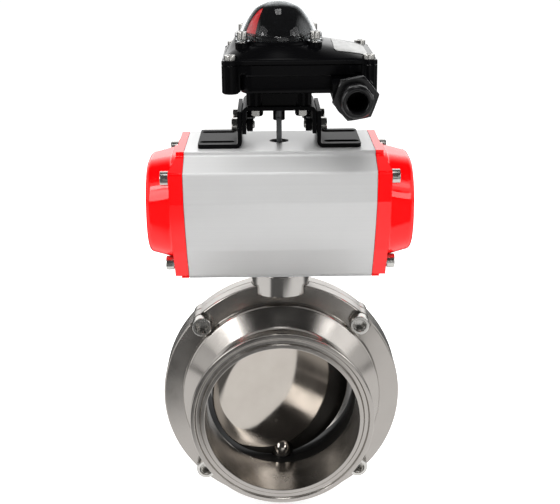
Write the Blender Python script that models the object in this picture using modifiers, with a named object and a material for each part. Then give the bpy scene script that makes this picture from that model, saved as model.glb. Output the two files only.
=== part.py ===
"""Hygienic butterfly valve with a rack-and-pinion actuator and a limit switch box, in metres.

X runs along the actuator, Y along the pipe (away from the viewer) and Z along the stem.
The origin is where the bore's axis crosses the stem's axis. The valve is modelled a
little open.
"""
from math import acos, cos, hypot, pi, radians, sin, tan

import bmesh
import bpy
from mathutils import Matrix

# Clearances
GAP = 0.0003
ROUND_STEPS = 40
SMALL_STEPS = 12
SHARP_CORNER = radians(32)

# Valve body halves, turned about the bore
BORE_R = 0.0500
TUBE_WALL = 0.0030
FACE_TO_FACE = 0.1040
FERRULE_R = 0.0595
FERRULE_RIM = 0.0028
FERRULE_BACK = 0.0034
FERRULE_CHAMFER = 0.0005
GROOVE_R = 0.0546
GROOVE_MOUTH = 0.0040
GROOVE_FLOOR = 0.0024
GROOVE_DEPTH = 0.0014
FLANGE_R = 0.0794
FLANGE_T = 0.0113
FLANGE_CHAMFER = 0.0008
SHOULDER_R = 0.0663
SHOULDER_H = 0.0053
SHOULDER_CHAMFER = 0.0012
NECK_FOOT_R = 0.0570
NECK_FOOT_LENGTH = 0.0112
NECK_FILLET = 0.0050

# Screws that clamp the body halves
BODY_SCREW_COUNT = 4
BODY_SCREW_CIRCLE_R = 0.0736
BODY_SCREW_R = 0.0040
BODY_SCREW_HEAD_R = 0.0065
BODY_SCREW_HEAD_H = 0.0080
BODY_SCREW_SOCKET = 0.0060
BODY_SCREW_BITE = 0.0075
EAR_R = 0.0068
EAR_SETBACK = 0.0004
SPOT_FACE_R = 0.0082
SPOT_FACE_DEPTH = 0.0010

# Seat, disc and stem
SEAT_LIP = 0.0008
SEAT_RADIAL = 0.0070
SEAT_WIDTH = 0.0260
SEAT_LIP_TAPER = 0.0090
PART_OPEN = radians(18)
DISC_CLEARANCE = 0.0005
DISC_HALF_T = 0.0055
DISC_RIM_T = 0.0026
DISC_BLEND = 0.0100
HUB_R = 0.0080
HUB_LENGTH = 0.0025
HUB_SETBACK = 0.0012
STEM_R = 0.0070
STEM_CORE_R = 0.0030
STEM_SQUARE = 0.0099
STEM_SQUARE_LENGTH = 0.0125
STEM_BUSH_WALL = 0.0030
LOWER_BUSH_LENGTH = 0.0095

# Sleeve between the valve and the actuator
SLEEVE_R = 0.0190
SLEEVE_EMBED = 0.0072
SPIGOT_R = 0.0175
SPIGOT_DEPTH = 0.0027
ACTUATOR_BOTTOM = 0.0865

# Actuator body: half widths, drops below its top and heights above its bottom
ACTUATOR_HEIGHT = 0.0864
ACTUATOR_HALF_LENGTH = 0.0590
TOP_HALF_W = 0.0320
TOP_STEP = 0.0026
RIDGE_HALF_W = 0.0500
RIDGE_DROP = 0.0096
SIDE_HALF_W = 0.0485
SIDE_DROP = 0.0290
WAIST_HALF_W = 0.0330
WAIST_H = 0.0224
WAIST_BULGE = 0.0012
FOOT_HALF_W = 0.0200
FOOT_H = 0.0020
FOOT_SLOPE = 0.0006
PAD_HALF_W = 0.0185
CYLINDER_WALL = 0.0117
CYLINDER_RISE = 0.0038

# Air connection pad on the rear of the actuator
PORT_PAD_HALF_L = 0.0260
PORT_PAD_HALF_H = 0.0145
PORT_PAD_DROP = 0.0224
PORT_PAD_RAISE = 0.0015
PORT_SPACING = 0.0240
PORT_R = 0.0052
PORT_DEPTH = 0.0090

# End caps
CAP_FLANGE_T = 0.0086
CAP_LIP_T = 0.0048
CAP_DEPTH = 0.0247
CAP_HALF_W = 0.0375
CAP_HALF_H = 0.0328
CAP_CORNER_R = 0.0260
CAP_DRAFT = 0.0022
CAP_EDGE = 0.0040
CAP_WALL = 0.0042
CAP_SCREW_R = 0.0025
CAP_SCREW_HEAD_R = 0.0045
CAP_SCREW_HEAD_H = 0.0050
CAP_SCREW_SOCKET = 0.0040
CAP_SCREW_BITE = 0.0100
CAP_SCREW_UPPER_INSET = 0.0060
CAP_SCREW_UPPER_DROP = 0.0136
CAP_SCREW_LOWER_Y = 0.0225
CAP_SCREW_LOWER_H = 0.0120

# Rack and pinion
GEAR_MODULE = 0.0015
GEAR_TEETH = 16
GEAR_HEIGHT = 0.0260
TOOTH_THINNING = 0.00015
PRESSURE_ANGLE = radians(20)
RACK_HEIGHT = 0.0200
RACK_BACK = 0.0100
PISTON_T = 0.0120
PISTON_INNER_X = 0.0260
RACK_END_GAP = 0.0010
PINION_SHAFT_R = 0.0100
PINION_LOWER_R = 0.0110
PINION_UPPER_R = 0.0075
PINION_BUSH_WALL = 0.0027
TOP_SKIN = 0.0026
PINION_TAIL = 0.0006
SOCKET_FLOOR_GAP = 0.0015

# Bracket under the switch box
SHEET = 0.0025
BRACKET_H = 0.0257
BRACKET_HALF_W = 0.0259
BRACKET_HALF_DEPTH = 0.0240
FOOT_OUTER_X = 0.0510
FOOT_SLOT_SPACING = 0.0310
FOOT_SLOT_W = 0.0060
FOOT_SLOT_L = 0.0220
BRIDGE_HALF_DEPTH = 0.0235
BRIDGE_FLANGE_H = 0.0170
BEND_R = 0.0012
LEG_BOLT_R = 0.0025
LEG_BOLT_HALF_SPACING = 0.0160
LEG_BOLT_H = 0.0135
LEG_BOLT_HEAD_R = 0.0046
LEG_BOLT_HEAD_H = 0.0036
LEG_NUT_R = 0.0046
LEG_NUT_H = 0.0038
LEG_BOLT_TAIL = 0.0012
BOX_BOLT_R = 0.0025
BOX_BOLT_X = 0.0147
BOX_BOLT_Y = 0.0140
BOX_BOLT_HEAD_R = 0.0048
BOX_BOLT_HEAD_H = 0.0042
BOX_BOLT_BITE = 0.0070

# Switch box
PEDESTAL_H = 0.0096
PEDESTAL_HALF_W = 0.0203
PEDESTAL_HALF_DEPTH = 0.0225
BOX_LEFT = 0.0255
BOX_RIGHT = 0.0500
BOX_HALF_DEPTH = 0.0380
BOX_CORNER_R = 0.0090
BOX_H = 0.0174
BOX_WALL = 0.0026
LUG_R = 0.0053
LUG_OUT = 0.0038
LUG_IN = 0.0035
LUG_SETBACK = 0.0004
LID_RIM = 0.0028
LID_SHELF = 0.0030
LID_RISE = 0.0122
LID_WALL = 0.0024
SHAFT_R = 0.0050
SHAFT_NOSE_R = 0.0038
TONGUE_T = 0.0034
TONGUE_W = 0.0110
TONGUE_ENGAGE = 0.0040
TONGUE_ABOVE = 0.0155
CAM_R = 0.0105
CAM_LOBE_R = 0.0135
CAM_T = 0.0036
CAM_LIFT = 0.0012
CAM_PITCH = 0.0055
SENSOR_L = 0.0220
SENSOR_W = 0.0120
SENSOR_GAP = 0.0012
LID_SCREW_R = 0.0020
LID_SCREW_HEAD_R = 0.0041
LID_SCREW_HEAD_H = 0.0033
LID_SCREW_SOCKET = 0.0030
LID_SCREW_BITE = 0.0080

# Indicator
DOME_R = 0.0242
DOME_H = 0.0236
DOME_WALL = 0.0014
DOME_FLANGE_R = 0.0272
DOME_FLANGE_T = 0.0030
DOME_SCREW_CIRCLE_R = 0.0312
DOME_LUG_R = 0.0044
DOME_SCREW_R = 0.0020
DOME_SCREW_HEAD_R = 0.0032
DOME_SCREW_HEAD_H = 0.0048
DOME_SCREW_SOCKET = 0.0030
DOME_SCREW_BITE = 0.0032
SHROUD_WALL = 0.0016
SHROUD_TURN = radians(12)
SHROUD_RING_H = 0.0030
WINDOW_INNER_X = 0.0055
ROTOR_CLEARANCE = 0.0008
ROTOR_SOCKET = 0.0045

# Cable gland
GLAND_X = 0.0440
GLAND_BELOW_PARTING = 0.0156
GLAND_BOSS_R = 0.0128
GLAND_BOSS_FRONT = 0.0600
GLAND_BOSS_BACK = 0.0345
GLAND_WEB = 0.0004
GLAND_THREAD_R = 0.0082
GLAND_THREAD_L = 0.0140
GLAND_HEX = 0.0240
GLAND_TURN = radians(10)
GLAND_HEX_T = 0.0060
GLAND_NUT_R = 0.0098
GLAND_NUT_NOSE_R = 0.0078
GLAND_NUT_T = 0.0125
GLAND_NUT_GRIP = 0.0070
GLAND_BORE_R = 0.0058
WIRE_HOLE_R = 0.0030

# Places worked out from the sizes above
HALF_FACE = FACE_TO_FACE / 2
TUBE_R = BORE_R + TUBE_WALL
SEAT_R = BORE_R - SEAT_LIP
SEAT_OUTER_R = BORE_R + SEAT_RADIAL
DISC_R = SEAT_R - DISC_CLEARANCE
STEM_BUSH_R = STEM_R + GAP + STEM_BUSH_WALL
STEM_LOW_Z = -(SEAT_OUTER_R + 2 * GAP + LOWER_BUSH_LENGTH)
SLEEVE_BOTTOM = FLANGE_R - SLEEVE_EMBED
STEM_SQUARE_Z = ACTUATOR_BOTTOM + SPIGOT_DEPTH + PINION_TAIL
STEM_TOP_Z = STEM_SQUARE_Z + STEM_SQUARE_LENGTH
ACTUATOR_TOP = ACTUATOR_BOTTOM + ACTUATOR_HEIGHT
RIDGE_H = ACTUATOR_HEIGHT - RIDGE_DROP
SIDE_H = ACTUATOR_HEIGHT - SIDE_DROP
CYLINDER_R = ACTUATOR_HEIGHT / 2 - CYLINDER_WALL
CYLINDER_Z = ACTUATOR_BOTTOM + ACTUATOR_HEIGHT / 2 + CYLINDER_RISE
PORT_PAD_H = ACTUATOR_HEIGHT - PORT_PAD_DROP
CAP_SCREW_UPPER_H = ACTUATOR_HEIGHT - CAP_SCREW_UPPER_DROP
CAP_SCREW_UPPER_Y = RIDGE_HALF_W - CAP_SCREW_UPPER_INSET
PITCH_R = GEAR_MODULE * GEAR_TEETH / 2
TOOTH_PITCH = pi * GEAR_MODULE
CAP_X = ACTUATOR_HALF_LENGTH + GAP
BRACKET_Z = ACTUATOR_TOP + GAP
BRIDGE_TOP = BRACKET_Z + BRACKET_H
BRIDGE_BOTTOM = BRIDGE_TOP - SHEET
FLANGE_X = BRACKET_HALF_W - SHEET - GAP
PINION_TOP = ACTUATOR_TOP - TOP_SKIN - GAP
TONGUE_Z = PINION_TOP - TONGUE_ENGAGE
PEDESTAL_Z = BRIDGE_TOP + GAP
BOX_Z = PEDESTAL_Z + PEDESTAL_H
BOX_FLOOR = BOX_Z + BOX_WALL
PARTING_Z = BOX_Z + BOX_H
LID_Z = PARTING_Z + GAP
LID_TOP = LID_Z + LID_RISE
DOME_Z = LID_TOP + GAP
SHROUD_R = DOME_R - DOME_WALL - GAP
ROTOR_R = SHROUD_R - SHROUD_WALL - ROTOR_CLEARANCE
ROTOR_Z = DOME_Z + SHROUD_RING_H
SHAFT_TOP = ROTOR_Z + ROTOR_SOCKET - GAP
GLAND_Z = PARTING_Z - GLAND_BELOW_PARTING
LUGS = [(x, y) for x in (-BOX_LEFT - LUG_OUT, BOX_RIGHT + LUG_OUT)
        for y in (LUG_IN - BOX_HALF_DEPTH, BOX_HALF_DEPTH - LUG_IN)]
BODY_SCREW_ANGLES = [2 * pi * (k + 0.5) / BODY_SCREW_COUNT for k in range(BODY_SCREW_COUNT)]
DOME_SCREW_ANGLES = [radians(45 + 90 * k) for k in range(4)]
CAP_SCREW_PLACES = [(side * y, ACTUATOR_BOTTOM + h) for side in (-1, 1)
                    for y, h in ((CAP_SCREW_UPPER_Y, CAP_SCREW_UPPER_H),
                                 (CAP_SCREW_LOWER_Y, CAP_SCREW_LOWER_H))]

# Local Z of a turned or extruded piece, laid along a world axis
ALONG = {
    "Z": Matrix.Identity(4),
    "-Z": Matrix.Rotation(pi, 4, "X"),
    "-Y": Matrix.Rotation(pi / 2, 4, "X"),
    "Y": Matrix.Rotation(-pi / 2, 4, "X"),
    "X": Matrix(((0, 0, 1, 0), (1, 0, 0, 0), (0, 1, 0, 0), (0, 0, 0, 1))),
    "-X": Matrix(((0, 0, -1, 0), (-1, 0, 0, 0), (0, 1, 0, 0), (0, 0, 0, 1))),
}


# Scene and materials

def start_scene():
    for old in list(bpy.data.objects):
        bpy.data.objects.remove(old, do_unlink=True)
    parts = bpy.data.collections.new("butterfly_valve")
    cutters = bpy.data.collections.new("cutters")
    for collection in (parts, cutters):
        bpy.context.scene.collection.children.link(collection)
    return parts, cutters


def make_material(name, colour, roughness, metallic, alpha=1.0):
    finish = bpy.data.materials.new(name)
    finish.use_nodes = True
    shader = finish.node_tree.nodes["Principled BSDF"]
    shader.inputs["Base Color"].default_value = (*colour, 1)
    shader.inputs["Roughness"].default_value = roughness
    shader.inputs["Metallic"].default_value = metallic
    shader.inputs["Alpha"].default_value = alpha
    finish.diffuse_color = (*colour, alpha)
    return finish


PARTS, CUTTERS = start_scene()
STAINLESS = make_material("polished_stainless", (0.55, 0.54, 0.52), 0.18, 1.0)
SCREW_STEEL = make_material("screw_steel", (0.60, 0.60, 0.59), 0.30, 1.0)
SEAT_RUBBER = make_material("black_rubber", (0.02, 0.02, 0.02), 0.60, 0.0)
BUSH_PLASTIC = make_material("white_bush_plastic", (0.80, 0.79, 0.75), 0.50, 0.0)
ALUMINIUM = make_material("anodised_aluminium", (0.62, 0.62, 0.61), 0.45, 1.0)
RED_PAINT = make_material("red_paint", (0.85, 0.01, 0.02), 0.25, 0.0)
BLACK_PAINT = make_material("black_powder_coat", (0.012, 0.012, 0.012), 0.40, 0.0)
CLEAR_PLASTIC = make_material("clear_plastic", (0.92, 0.94, 0.95), 0.05, 0.0, 0.30)
RED_PLASTIC = make_material("red_plastic", (0.80, 0.02, 0.03), 0.35, 0.0)


# Building blocks

def keep(piece, finish):
    """Put a finished piece among the parts, its round faces smooth and its corners sharp."""
    if piece.modifiers:
        name = piece.name
        spot = piece.matrix_world.copy()
        piece = new_piece(name, frozen(piece))
        piece.matrix_world = spot
    for collection in list(piece.users_collection):
        collection.objects.unlink(piece)
    PARTS.objects.link(piece)
    piece.data.materials.clear()
    piece.data.materials.append(finish)
    return piece


def turn_open(piece):
    """Turn a piece of the drive about the stem, from shut to where the valve stands."""
    piece.matrix_world = Matrix.Rotation(PART_OPEN, 4, "Z") @ piece.matrix_world
    return piece


def as_tool(piece):
    """Hide a piece that only cuts or joins another."""
    for collection in list(piece.users_collection):
        collection.objects.unlink(piece)
    CUTTERS.objects.link(piece)
    piece.hide_render = True
    piece.display_type = "WIRE"
    return piece


def combine(piece, tools, operation):
    for tool in tools:
        as_tool(tool)
        step = piece.modifiers.new(tool.name, "BOOLEAN")
        step.operation = operation
        step.solver = "EXACT"
        step.object = tool
    return piece


def cut(piece, *tools):
    return combine(piece, tools, "DIFFERENCE")


def join(piece, *tools):
    return combine(piece, tools, "UNION")


def place(piece, along="Z", at=(0, 0, 0)):
    piece.matrix_world = Matrix.Translation(at) @ ALONG[along]
    return piece


def new_piece(name, mesh):
    piece = bpy.data.objects.new(name, mesh)
    bpy.context.scene.collection.objects.link(piece)
    return piece


def turned(name, profile, along="Z", at=(0, 0, 0), steps=ROUND_STEPS, closed=True):
    """Turn a profile of (radius, height) points, listed down its outer side, about local Z."""
    count = len(profile)
    links = [(k, k + 1) for k in range(count - 1)]
    if closed:
        links.append((count - 1, 0))
    mesh = bpy.data.meshes.new(name)
    mesh.from_pydata([(r, 0, h) for r, h in profile], links, [])
    piece = new_piece(name, mesh)
    spin = piece.modifiers.new("turn", "SCREW")
    spin.axis = "Z"
    spin.angle = 2 * pi
    spin.steps = steps
    spin.render_steps = steps
    spin.use_merge_vertices = True
    spin.merge_threshold = 1e-6
    spin.use_smooth_shade = True
    return place(piece, along, at)


def rod(name, radius, low, high, along="Z", at=(0, 0, 0), steps=SMALL_STEPS):
    """A round bar from low to high along its axis."""
    return turned(name, [(0, high), (radius, high), (radius, low), (0, low)], along, at, steps, False)


def ring(name, inner, outer, low, high, along="Z", at=(0, 0, 0), steps=ROUND_STEPS):
    return turned(name, [(outer, high), (outer, low), (inner, low), (inner, high)], along, at, steps)


def block(name, low, high):
    """A box between two corners."""
    bpy.ops.mesh.primitive_cube_add(size=1)
    piece = bpy.context.active_object
    piece.name = name
    size = [b - a for a, b in zip(low, high)]
    middle = [(a + b) / 2 for a, b in zip(low, high)]
    piece.data.transform(Matrix.Diagonal((*size, 1)))
    piece.location = middle
    return piece


def prism(name, outline, low, high, along="Z", at=(0, 0, 0)):
    """Extrude a flat outline from low to high along local Z."""
    curve = bpy.data.curves.new(name, "CURVE")
    curve.dimensions = "2D"
    curve.fill_mode = "BOTH"
    curve.extrude = (high - low) / 2
    spline = curve.splines.new("POLY")
    spline.points.add(len(outline) - 1)
    for point, (u, v) in zip(spline.points, outline):
        point.co = (u, v, 0, 1)
    spline.use_cyclic_u = True
    draft = new_piece(name + "_outline", curve)
    bpy.context.view_layer.update()
    solid = draft.evaluated_get(bpy.context.evaluated_depsgraph_get())
    mesh = bpy.data.meshes.new_from_object(solid)
    bpy.data.objects.remove(draft, do_unlink=True)
    mesh.transform(Matrix.Translation((0, 0, (low + high) / 2)))
    weld = bmesh.new()
    weld.from_mesh(mesh)
    bmesh.ops.remove_doubles(weld, verts=weld.verts, dist=1e-6)
    bmesh.ops.recalc_face_normals(weld, faces=weld.faces)
    weld.to_mesh(mesh)
    weld.free()
    mesh.name = name
    return place(new_piece(name, mesh), along, at)


def loft(name, rings):
    """Join rings of (x, y, z) points, bottom to top, into one closed solid."""
    shape = bmesh.new()
    loops = []
    for points in rings:
        corners = [shape.verts.new(p) for p in points]
        loops.append([shape.edges.new((corners[k - 1], corners[k])) for k in range(len(corners))])
    for lower, upper in zip(loops, loops[1:]):
        bmesh.ops.bridge_loops(shape, edges=lower + upper)
    for end in (loops[0], loops[-1]):
        bmesh.ops.edgeloop_fill(shape, edges=end)
    bmesh.ops.recalc_face_normals(shape, faces=shape.faces)
    mesh = bpy.data.meshes.new(name)
    shape.to_mesh(mesh)
    shape.free()
    return new_piece(name, mesh)


def frozen(piece):
    """The finished mesh of a piece with its cuts made, which copies can share."""
    name = piece.name
    bpy.context.view_layer.update()
    solid = piece.evaluated_get(bpy.context.evaluated_depsgraph_get())
    mesh = bpy.data.meshes.new_from_object(solid)
    bpy.data.objects.remove(piece, do_unlink=True)
    for tool in list(CUTTERS.objects):
        bpy.data.objects.remove(tool, do_unlink=True)
    mesh.name = name
    mesh.shade_smooth()
    mesh.set_sharp_from_angle(angle=SHARP_CORNER)
    return mesh


def copies(name, mesh, finish, places):
    """One object for each (axis, point) in places, all sharing a mesh."""
    for number, (along, at) in enumerate(places, 1):
        keep(place(new_piece(f"{name}_{number}", mesh), along, at), finish)


def rounded_box(x0, x1, y0, y1, radius, corner_steps=5):
    """Outline of a rectangle with round corners, anticlockwise."""
    centres = [(x1 - radius, y1 - radius), (x0 + radius, y1 - radius),
               (x0 + radius, y0 + radius), (x1 - radius, y0 + radius)]
    points = []
    for quarter, (cx, cy) in enumerate(centres):
        for step in range(corner_steps + 1):
            angle = pi / 2 * (quarter + step / corner_steps)
            points.append((cx + radius * cos(angle), cy + radius * sin(angle)))
    return points


def round_outline(radius, x=0.0, y=0.0, corner_steps=5):
    """A circle with as many points as rounded_box, in the same order."""
    count = 4 * (corner_steps + 1)
    return [(x + radius * cos(2 * pi * (k + 0.5) / count),
             y + radius * sin(2 * pi * (k + 0.5) / count)) for k in range(count)]


def level(outline, z):
    return [(x, y, z) for x, y in outline]


def hexagon(across_flats, turn=0.0):
    radius = across_flats / 2 / cos(pi / 6)
    return [(radius * cos(turn + k * pi / 3), radius * sin(turn + k * pi / 3)) for k in range(6)]


def screw_mesh(shank_r, shank_l, head_r, head_h, socket):
    """A socket head screw: its head rises from local Z = 0 and its shank goes down."""
    chamfer = head_r * 0.12
    profile = [(0, head_h), (head_r - chamfer, head_h), (head_r, head_h - chamfer), (head_r, 0),
               (shank_r, 0), (shank_r, -shank_l), (0, -shank_l)]
    screw = turned("screw", profile, steps=SMALL_STEPS, closed=False)
    cut(screw, prism("screw_socket", hexagon(socket), head_h * 0.4, head_h * 1.5))
    return frozen(screw)


def hex_bolt_mesh(shank_r, shank_l, head_r, head_h):
    """A hexagon bolt with its head below local Z = 0 and its shank above."""
    bolt = prism("hex_bolt", hexagon(2 * head_r * cos(pi / 6)), -head_h, 0)
    join(bolt, rod("hex_bolt_shank", shank_r, -head_h / 2, shank_l))
    return frozen(bolt)


# Valve

def body_half_profile():
    """Section of one body half: radius, and distance from the parting plane."""
    face = HALF_FACE
    rim = face - FERRULE_RIM
    shoulder = FLANGE_T + SHOULDER_H
    neck = shoulder + NECK_FOOT_LENGTH
    mouth_in = GROOVE_R - GROOVE_MOUTH / 2
    mouth_out = GROOVE_R + GROOVE_MOUTH / 2
    floor_in = GROOVE_R - GROOVE_FLOOR / 2
    floor_out = GROOVE_R + GROOVE_FLOOR / 2
    pocket_r = SEAT_OUTER_R + GAP
    pocket = SEAT_WIDTH / 2 + GAP
    return [
        (FERRULE_R - FERRULE_CHAMFER, face), (FERRULE_R, face - FERRULE_CHAMFER),
        (FERRULE_R, rim), (TUBE_R, rim - FERRULE_BACK),
        (TUBE_R, neck + NECK_FILLET), (TUBE_R + (NECK_FOOT_R - TUBE_R) * 0.3, neck + NECK_FILLET * 0.45),
        (NECK_FOOT_R, neck), (SHOULDER_R - SHOULDER_CHAMFER, shoulder),
        (SHOULDER_R, shoulder - SHOULDER_CHAMFER), (SHOULDER_R, FLANGE_T),
        (FLANGE_R - FLANGE_CHAMFER, FLANGE_T), (FLANGE_R, FLANGE_T - FLANGE_CHAMFER),
        (FLANGE_R, GAP / 2), (pocket_r, GAP / 2), (pocket_r, pocket), (BORE_R, pocket),
        (BORE_R, face), (mouth_in, face), (floor_in, face - GROOVE_DEPTH),
        (floor_out, face - GROOVE_DEPTH), (mouth_out, face),
    ]


def body_half(name, along, with_heads):
    half = turned(name, body_half_profile(), along, steps=ROUND_STEPS)
    for number, angle in enumerate(BODY_SCREW_ANGLES):
        x = BODY_SCREW_CIRCLE_R * cos(angle)
        z = BODY_SCREW_CIRCLE_R * sin(angle)
        tag = f"{name}_{number}"
        join(half, rod(tag + "_ear", EAR_R, EAR_SETBACK, FLANGE_T - EAR_SETBACK, along, (x, 0, z)))
        if with_heads:
            floor = FLANGE_T - SPOT_FACE_DEPTH
            cut(half, rod(tag + "_spot", SPOT_FACE_R, floor, 2 * FLANGE_T, along, (x, 0, z)))
        depth = 2 * FLANGE_T if with_heads else BODY_SCREW_BITE + GAP
        cut(half, rod(tag + "_hole", BODY_SCREW_R + GAP, -FLANGE_T, depth, along, (x, 0, z)))
    channel_r = STEM_BUSH_R + GAP
    channel_start = BORE_R + SEAT_RADIAL / 2
    cut(half,
        rod(name + "_upper_channel", channel_r, channel_start, SLEEVE_BOTTOM, steps=24),
        rod(name + "_lower_channel", channel_r, STEM_LOW_Z - GAP, -channel_start, steps=24),
        rod(name + "_sleeve_seat", SLEEVE_R + GAP, SLEEVE_BOTTOM - GAP, 2 * FLANGE_R, steps=32))
    return keep(half, STAINLESS)


def build_valve():
    body_half("front_body", "-Y", True)
    body_half("rear_body", "Y", False)
    head_seat = FLANGE_T - SPOT_FACE_DEPTH + GAP
    shank = head_seat + BODY_SCREW_BITE
    screw = screw_mesh(BODY_SCREW_R, shank, BODY_SCREW_HEAD_R, BODY_SCREW_HEAD_H, BODY_SCREW_SOCKET)
    copies("body_screw", screw, SCREW_STEEL,
           [("-Y", (BODY_SCREW_CIRCLE_R * cos(a), -head_seat, BODY_SCREW_CIRCLE_R * sin(a)))
            for a in BODY_SCREW_ANGLES])

    half_seat = SEAT_WIDTH / 2
    lip = half_seat - SEAT_LIP_TAPER
    seat = turned("seat_ring", [(SEAT_OUTER_R, half_seat), (SEAT_OUTER_R, -half_seat), (BORE_R, -half_seat),
                                (SEAT_R, -lip), (SEAT_R, lip), (BORE_R, half_seat)], "-Y")
    cut(seat, rod("seat_stem_hole", STEM_R + GAP, -2 * BORE_R, 2 * BORE_R, steps=24))
    keep(seat, SEAT_RUBBER)

    rim = DISC_RIM_T / 2
    blend = DISC_R - DISC_BLEND
    face = [(0, DISC_HALF_T), (blend, DISC_HALF_T * 0.85), (DISC_R - rim, rim * 1.6), (DISC_R, rim)]
    disc = turned("disc_and_stem", face + [(r, -h) for r, h in reversed(face)], "-Y", closed=False)
    hub = DISC_R - HUB_SETBACK
    hub_end = hub - HUB_LENGTH
    shaft = [(0, STEM_SQUARE_Z), (STEM_R, STEM_SQUARE_Z), (STEM_R, hub), (HUB_R, hub), (HUB_R, hub_end),
             (HUB_R * 0.72, hub_end - HUB_R * 0.72), (STEM_CORE_R, hub_end - HUB_R)]
    mirrored = [(r, -z) for r, z in reversed(shaft[2:])]
    tail = [(STEM_R, STEM_LOW_Z + GAP), (0, STEM_LOW_Z + GAP)]
    join(disc, turned("stem", shaft + mirrored + tail, steps=24, closed=False))
    half_square = STEM_SQUARE / 2
    join(disc, block("stem_square", (-half_square, -half_square, STEM_SQUARE_Z - STEM_R),
                     (half_square, half_square, STEM_TOP_Z)))
    turn_open(keep(disc, STAINLESS))

    bush_inner = STEM_R + GAP
    bush_start = SEAT_OUTER_R + 2 * GAP
    for name, low, high in (("upper_stem_bush", bush_start, SLEEVE_BOTTOM - GAP),
                            ("lower_stem_bush", STEM_LOW_Z + GAP, -bush_start)):
        keep(ring(name, bush_inner, STEM_BUSH_R, low, high, steps=24), BUSH_PLASTIC)

    spigot_top = ACTUATOR_BOTTOM + SPIGOT_DEPTH
    spigot_low = ACTUATOR_BOTTOM - GAP
    profile = [(SPIGOT_R, spigot_top), (SPIGOT_R, spigot_low), (SLEEVE_R, spigot_low),
               (SLEEVE_R, SLEEVE_BOTTOM), (bush_inner, SLEEVE_BOTTOM), (bush_inner, spigot_top)]
    keep(turned("mounting_sleeve", profile, steps=32), STAINLESS)


# Actuator

def actuator_outline():
    """Section across the actuator as (y, z), from the top round to the bottom, mirrored."""
    z = ACTUATOR_BOTTOM
    bulge_y = (SIDE_HALF_W + WAIST_HALF_W) / 2 + WAIST_BULGE
    side = [
        (TOP_HALF_W, z + ACTUATOR_HEIGHT), (TOP_HALF_W, z + ACTUATOR_HEIGHT - TOP_STEP),
        (RIDGE_HALF_W, z + RIDGE_H), (SIDE_HALF_W, z + SIDE_H), (bulge_y, z + (SIDE_H + WAIST_H) / 2),
        (WAIST_HALF_W, z + WAIST_H), (FOOT_HALF_W, z + FOOT_H),
        (PAD_HALF_W, z + FOOT_H - FOOT_SLOPE), (PAD_HALF_W, z),
    ]
    return side + [(-y, h) for y, h in reversed(side)]


def build_actuator_body():
    body = prism("actuator_body", actuator_outline(), -ACTUATOR_HALF_LENGTH, ACTUATOR_HALF_LENGTH, "X")
    pad_z = ACTUATOR_BOTTOM + PORT_PAD_H
    pad_y = RIDGE_HALF_W + PORT_PAD_RAISE
    join(body, block("port_pad", (-PORT_PAD_HALF_L, WAIST_HALF_W, pad_z - PORT_PAD_HALF_H),
                     (PORT_PAD_HALF_L, pad_y, pad_z + PORT_PAD_HALF_H)))
    far = 2 * ACTUATOR_HALF_LENGTH
    centre = (0, 0, CYLINDER_Z)
    upper_r = PINION_UPPER_R + PINION_BUSH_WALL + 2 * GAP
    lower_r = PINION_LOWER_R + PINION_BUSH_WALL + 2 * GAP
    spigot_r = SPIGOT_R + GAP
    spigot_top = ACTUATOR_BOTTOM + SPIGOT_DEPTH + GAP
    cut(body,
        rod("cylinder_bore", CYLINDER_R, -far, far, "X", centre, ROUND_STEPS),
        rod("upper_bush_seat", upper_r, CYLINDER_Z, ACTUATOR_TOP - TOP_SKIN, steps=24),
        rod("tongue_hole", TONGUE_W / 2 + 2 * GAP, CYLINDER_Z, ACTUATOR_TOP + CYLINDER_R, steps=20),
        turned("lower_bush_seat", [(0, CYLINDER_Z), (lower_r, CYLINDER_Z), (lower_r, spigot_top),
                                   (spigot_r, spigot_top), (spigot_r, ACTUATOR_BOTTOM - CYLINDER_R),
                                   (0, ACTUATOR_BOTTOM - CYLINDER_R)], steps=28, closed=False))
    for side in (-1, 1):
        cut(body, rod(f"port_{side}", PORT_R, pad_y - PORT_DEPTH, pad_y + PORT_DEPTH, "Y",
                      (side * PORT_SPACING / 2, 0, pad_z)))
        for y, z in CAP_SCREW_PLACES:
            hole = CAP_SCREW_BITE + CAP_FLANGE_T
            cut(body, rod("cap_screw_hole", CAP_SCREW_R + GAP, -hole, hole, "X",
                          (side * ACTUATOR_HALF_LENGTH, y, z), 12))
    keep(body, ALUMINIUM)


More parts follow.
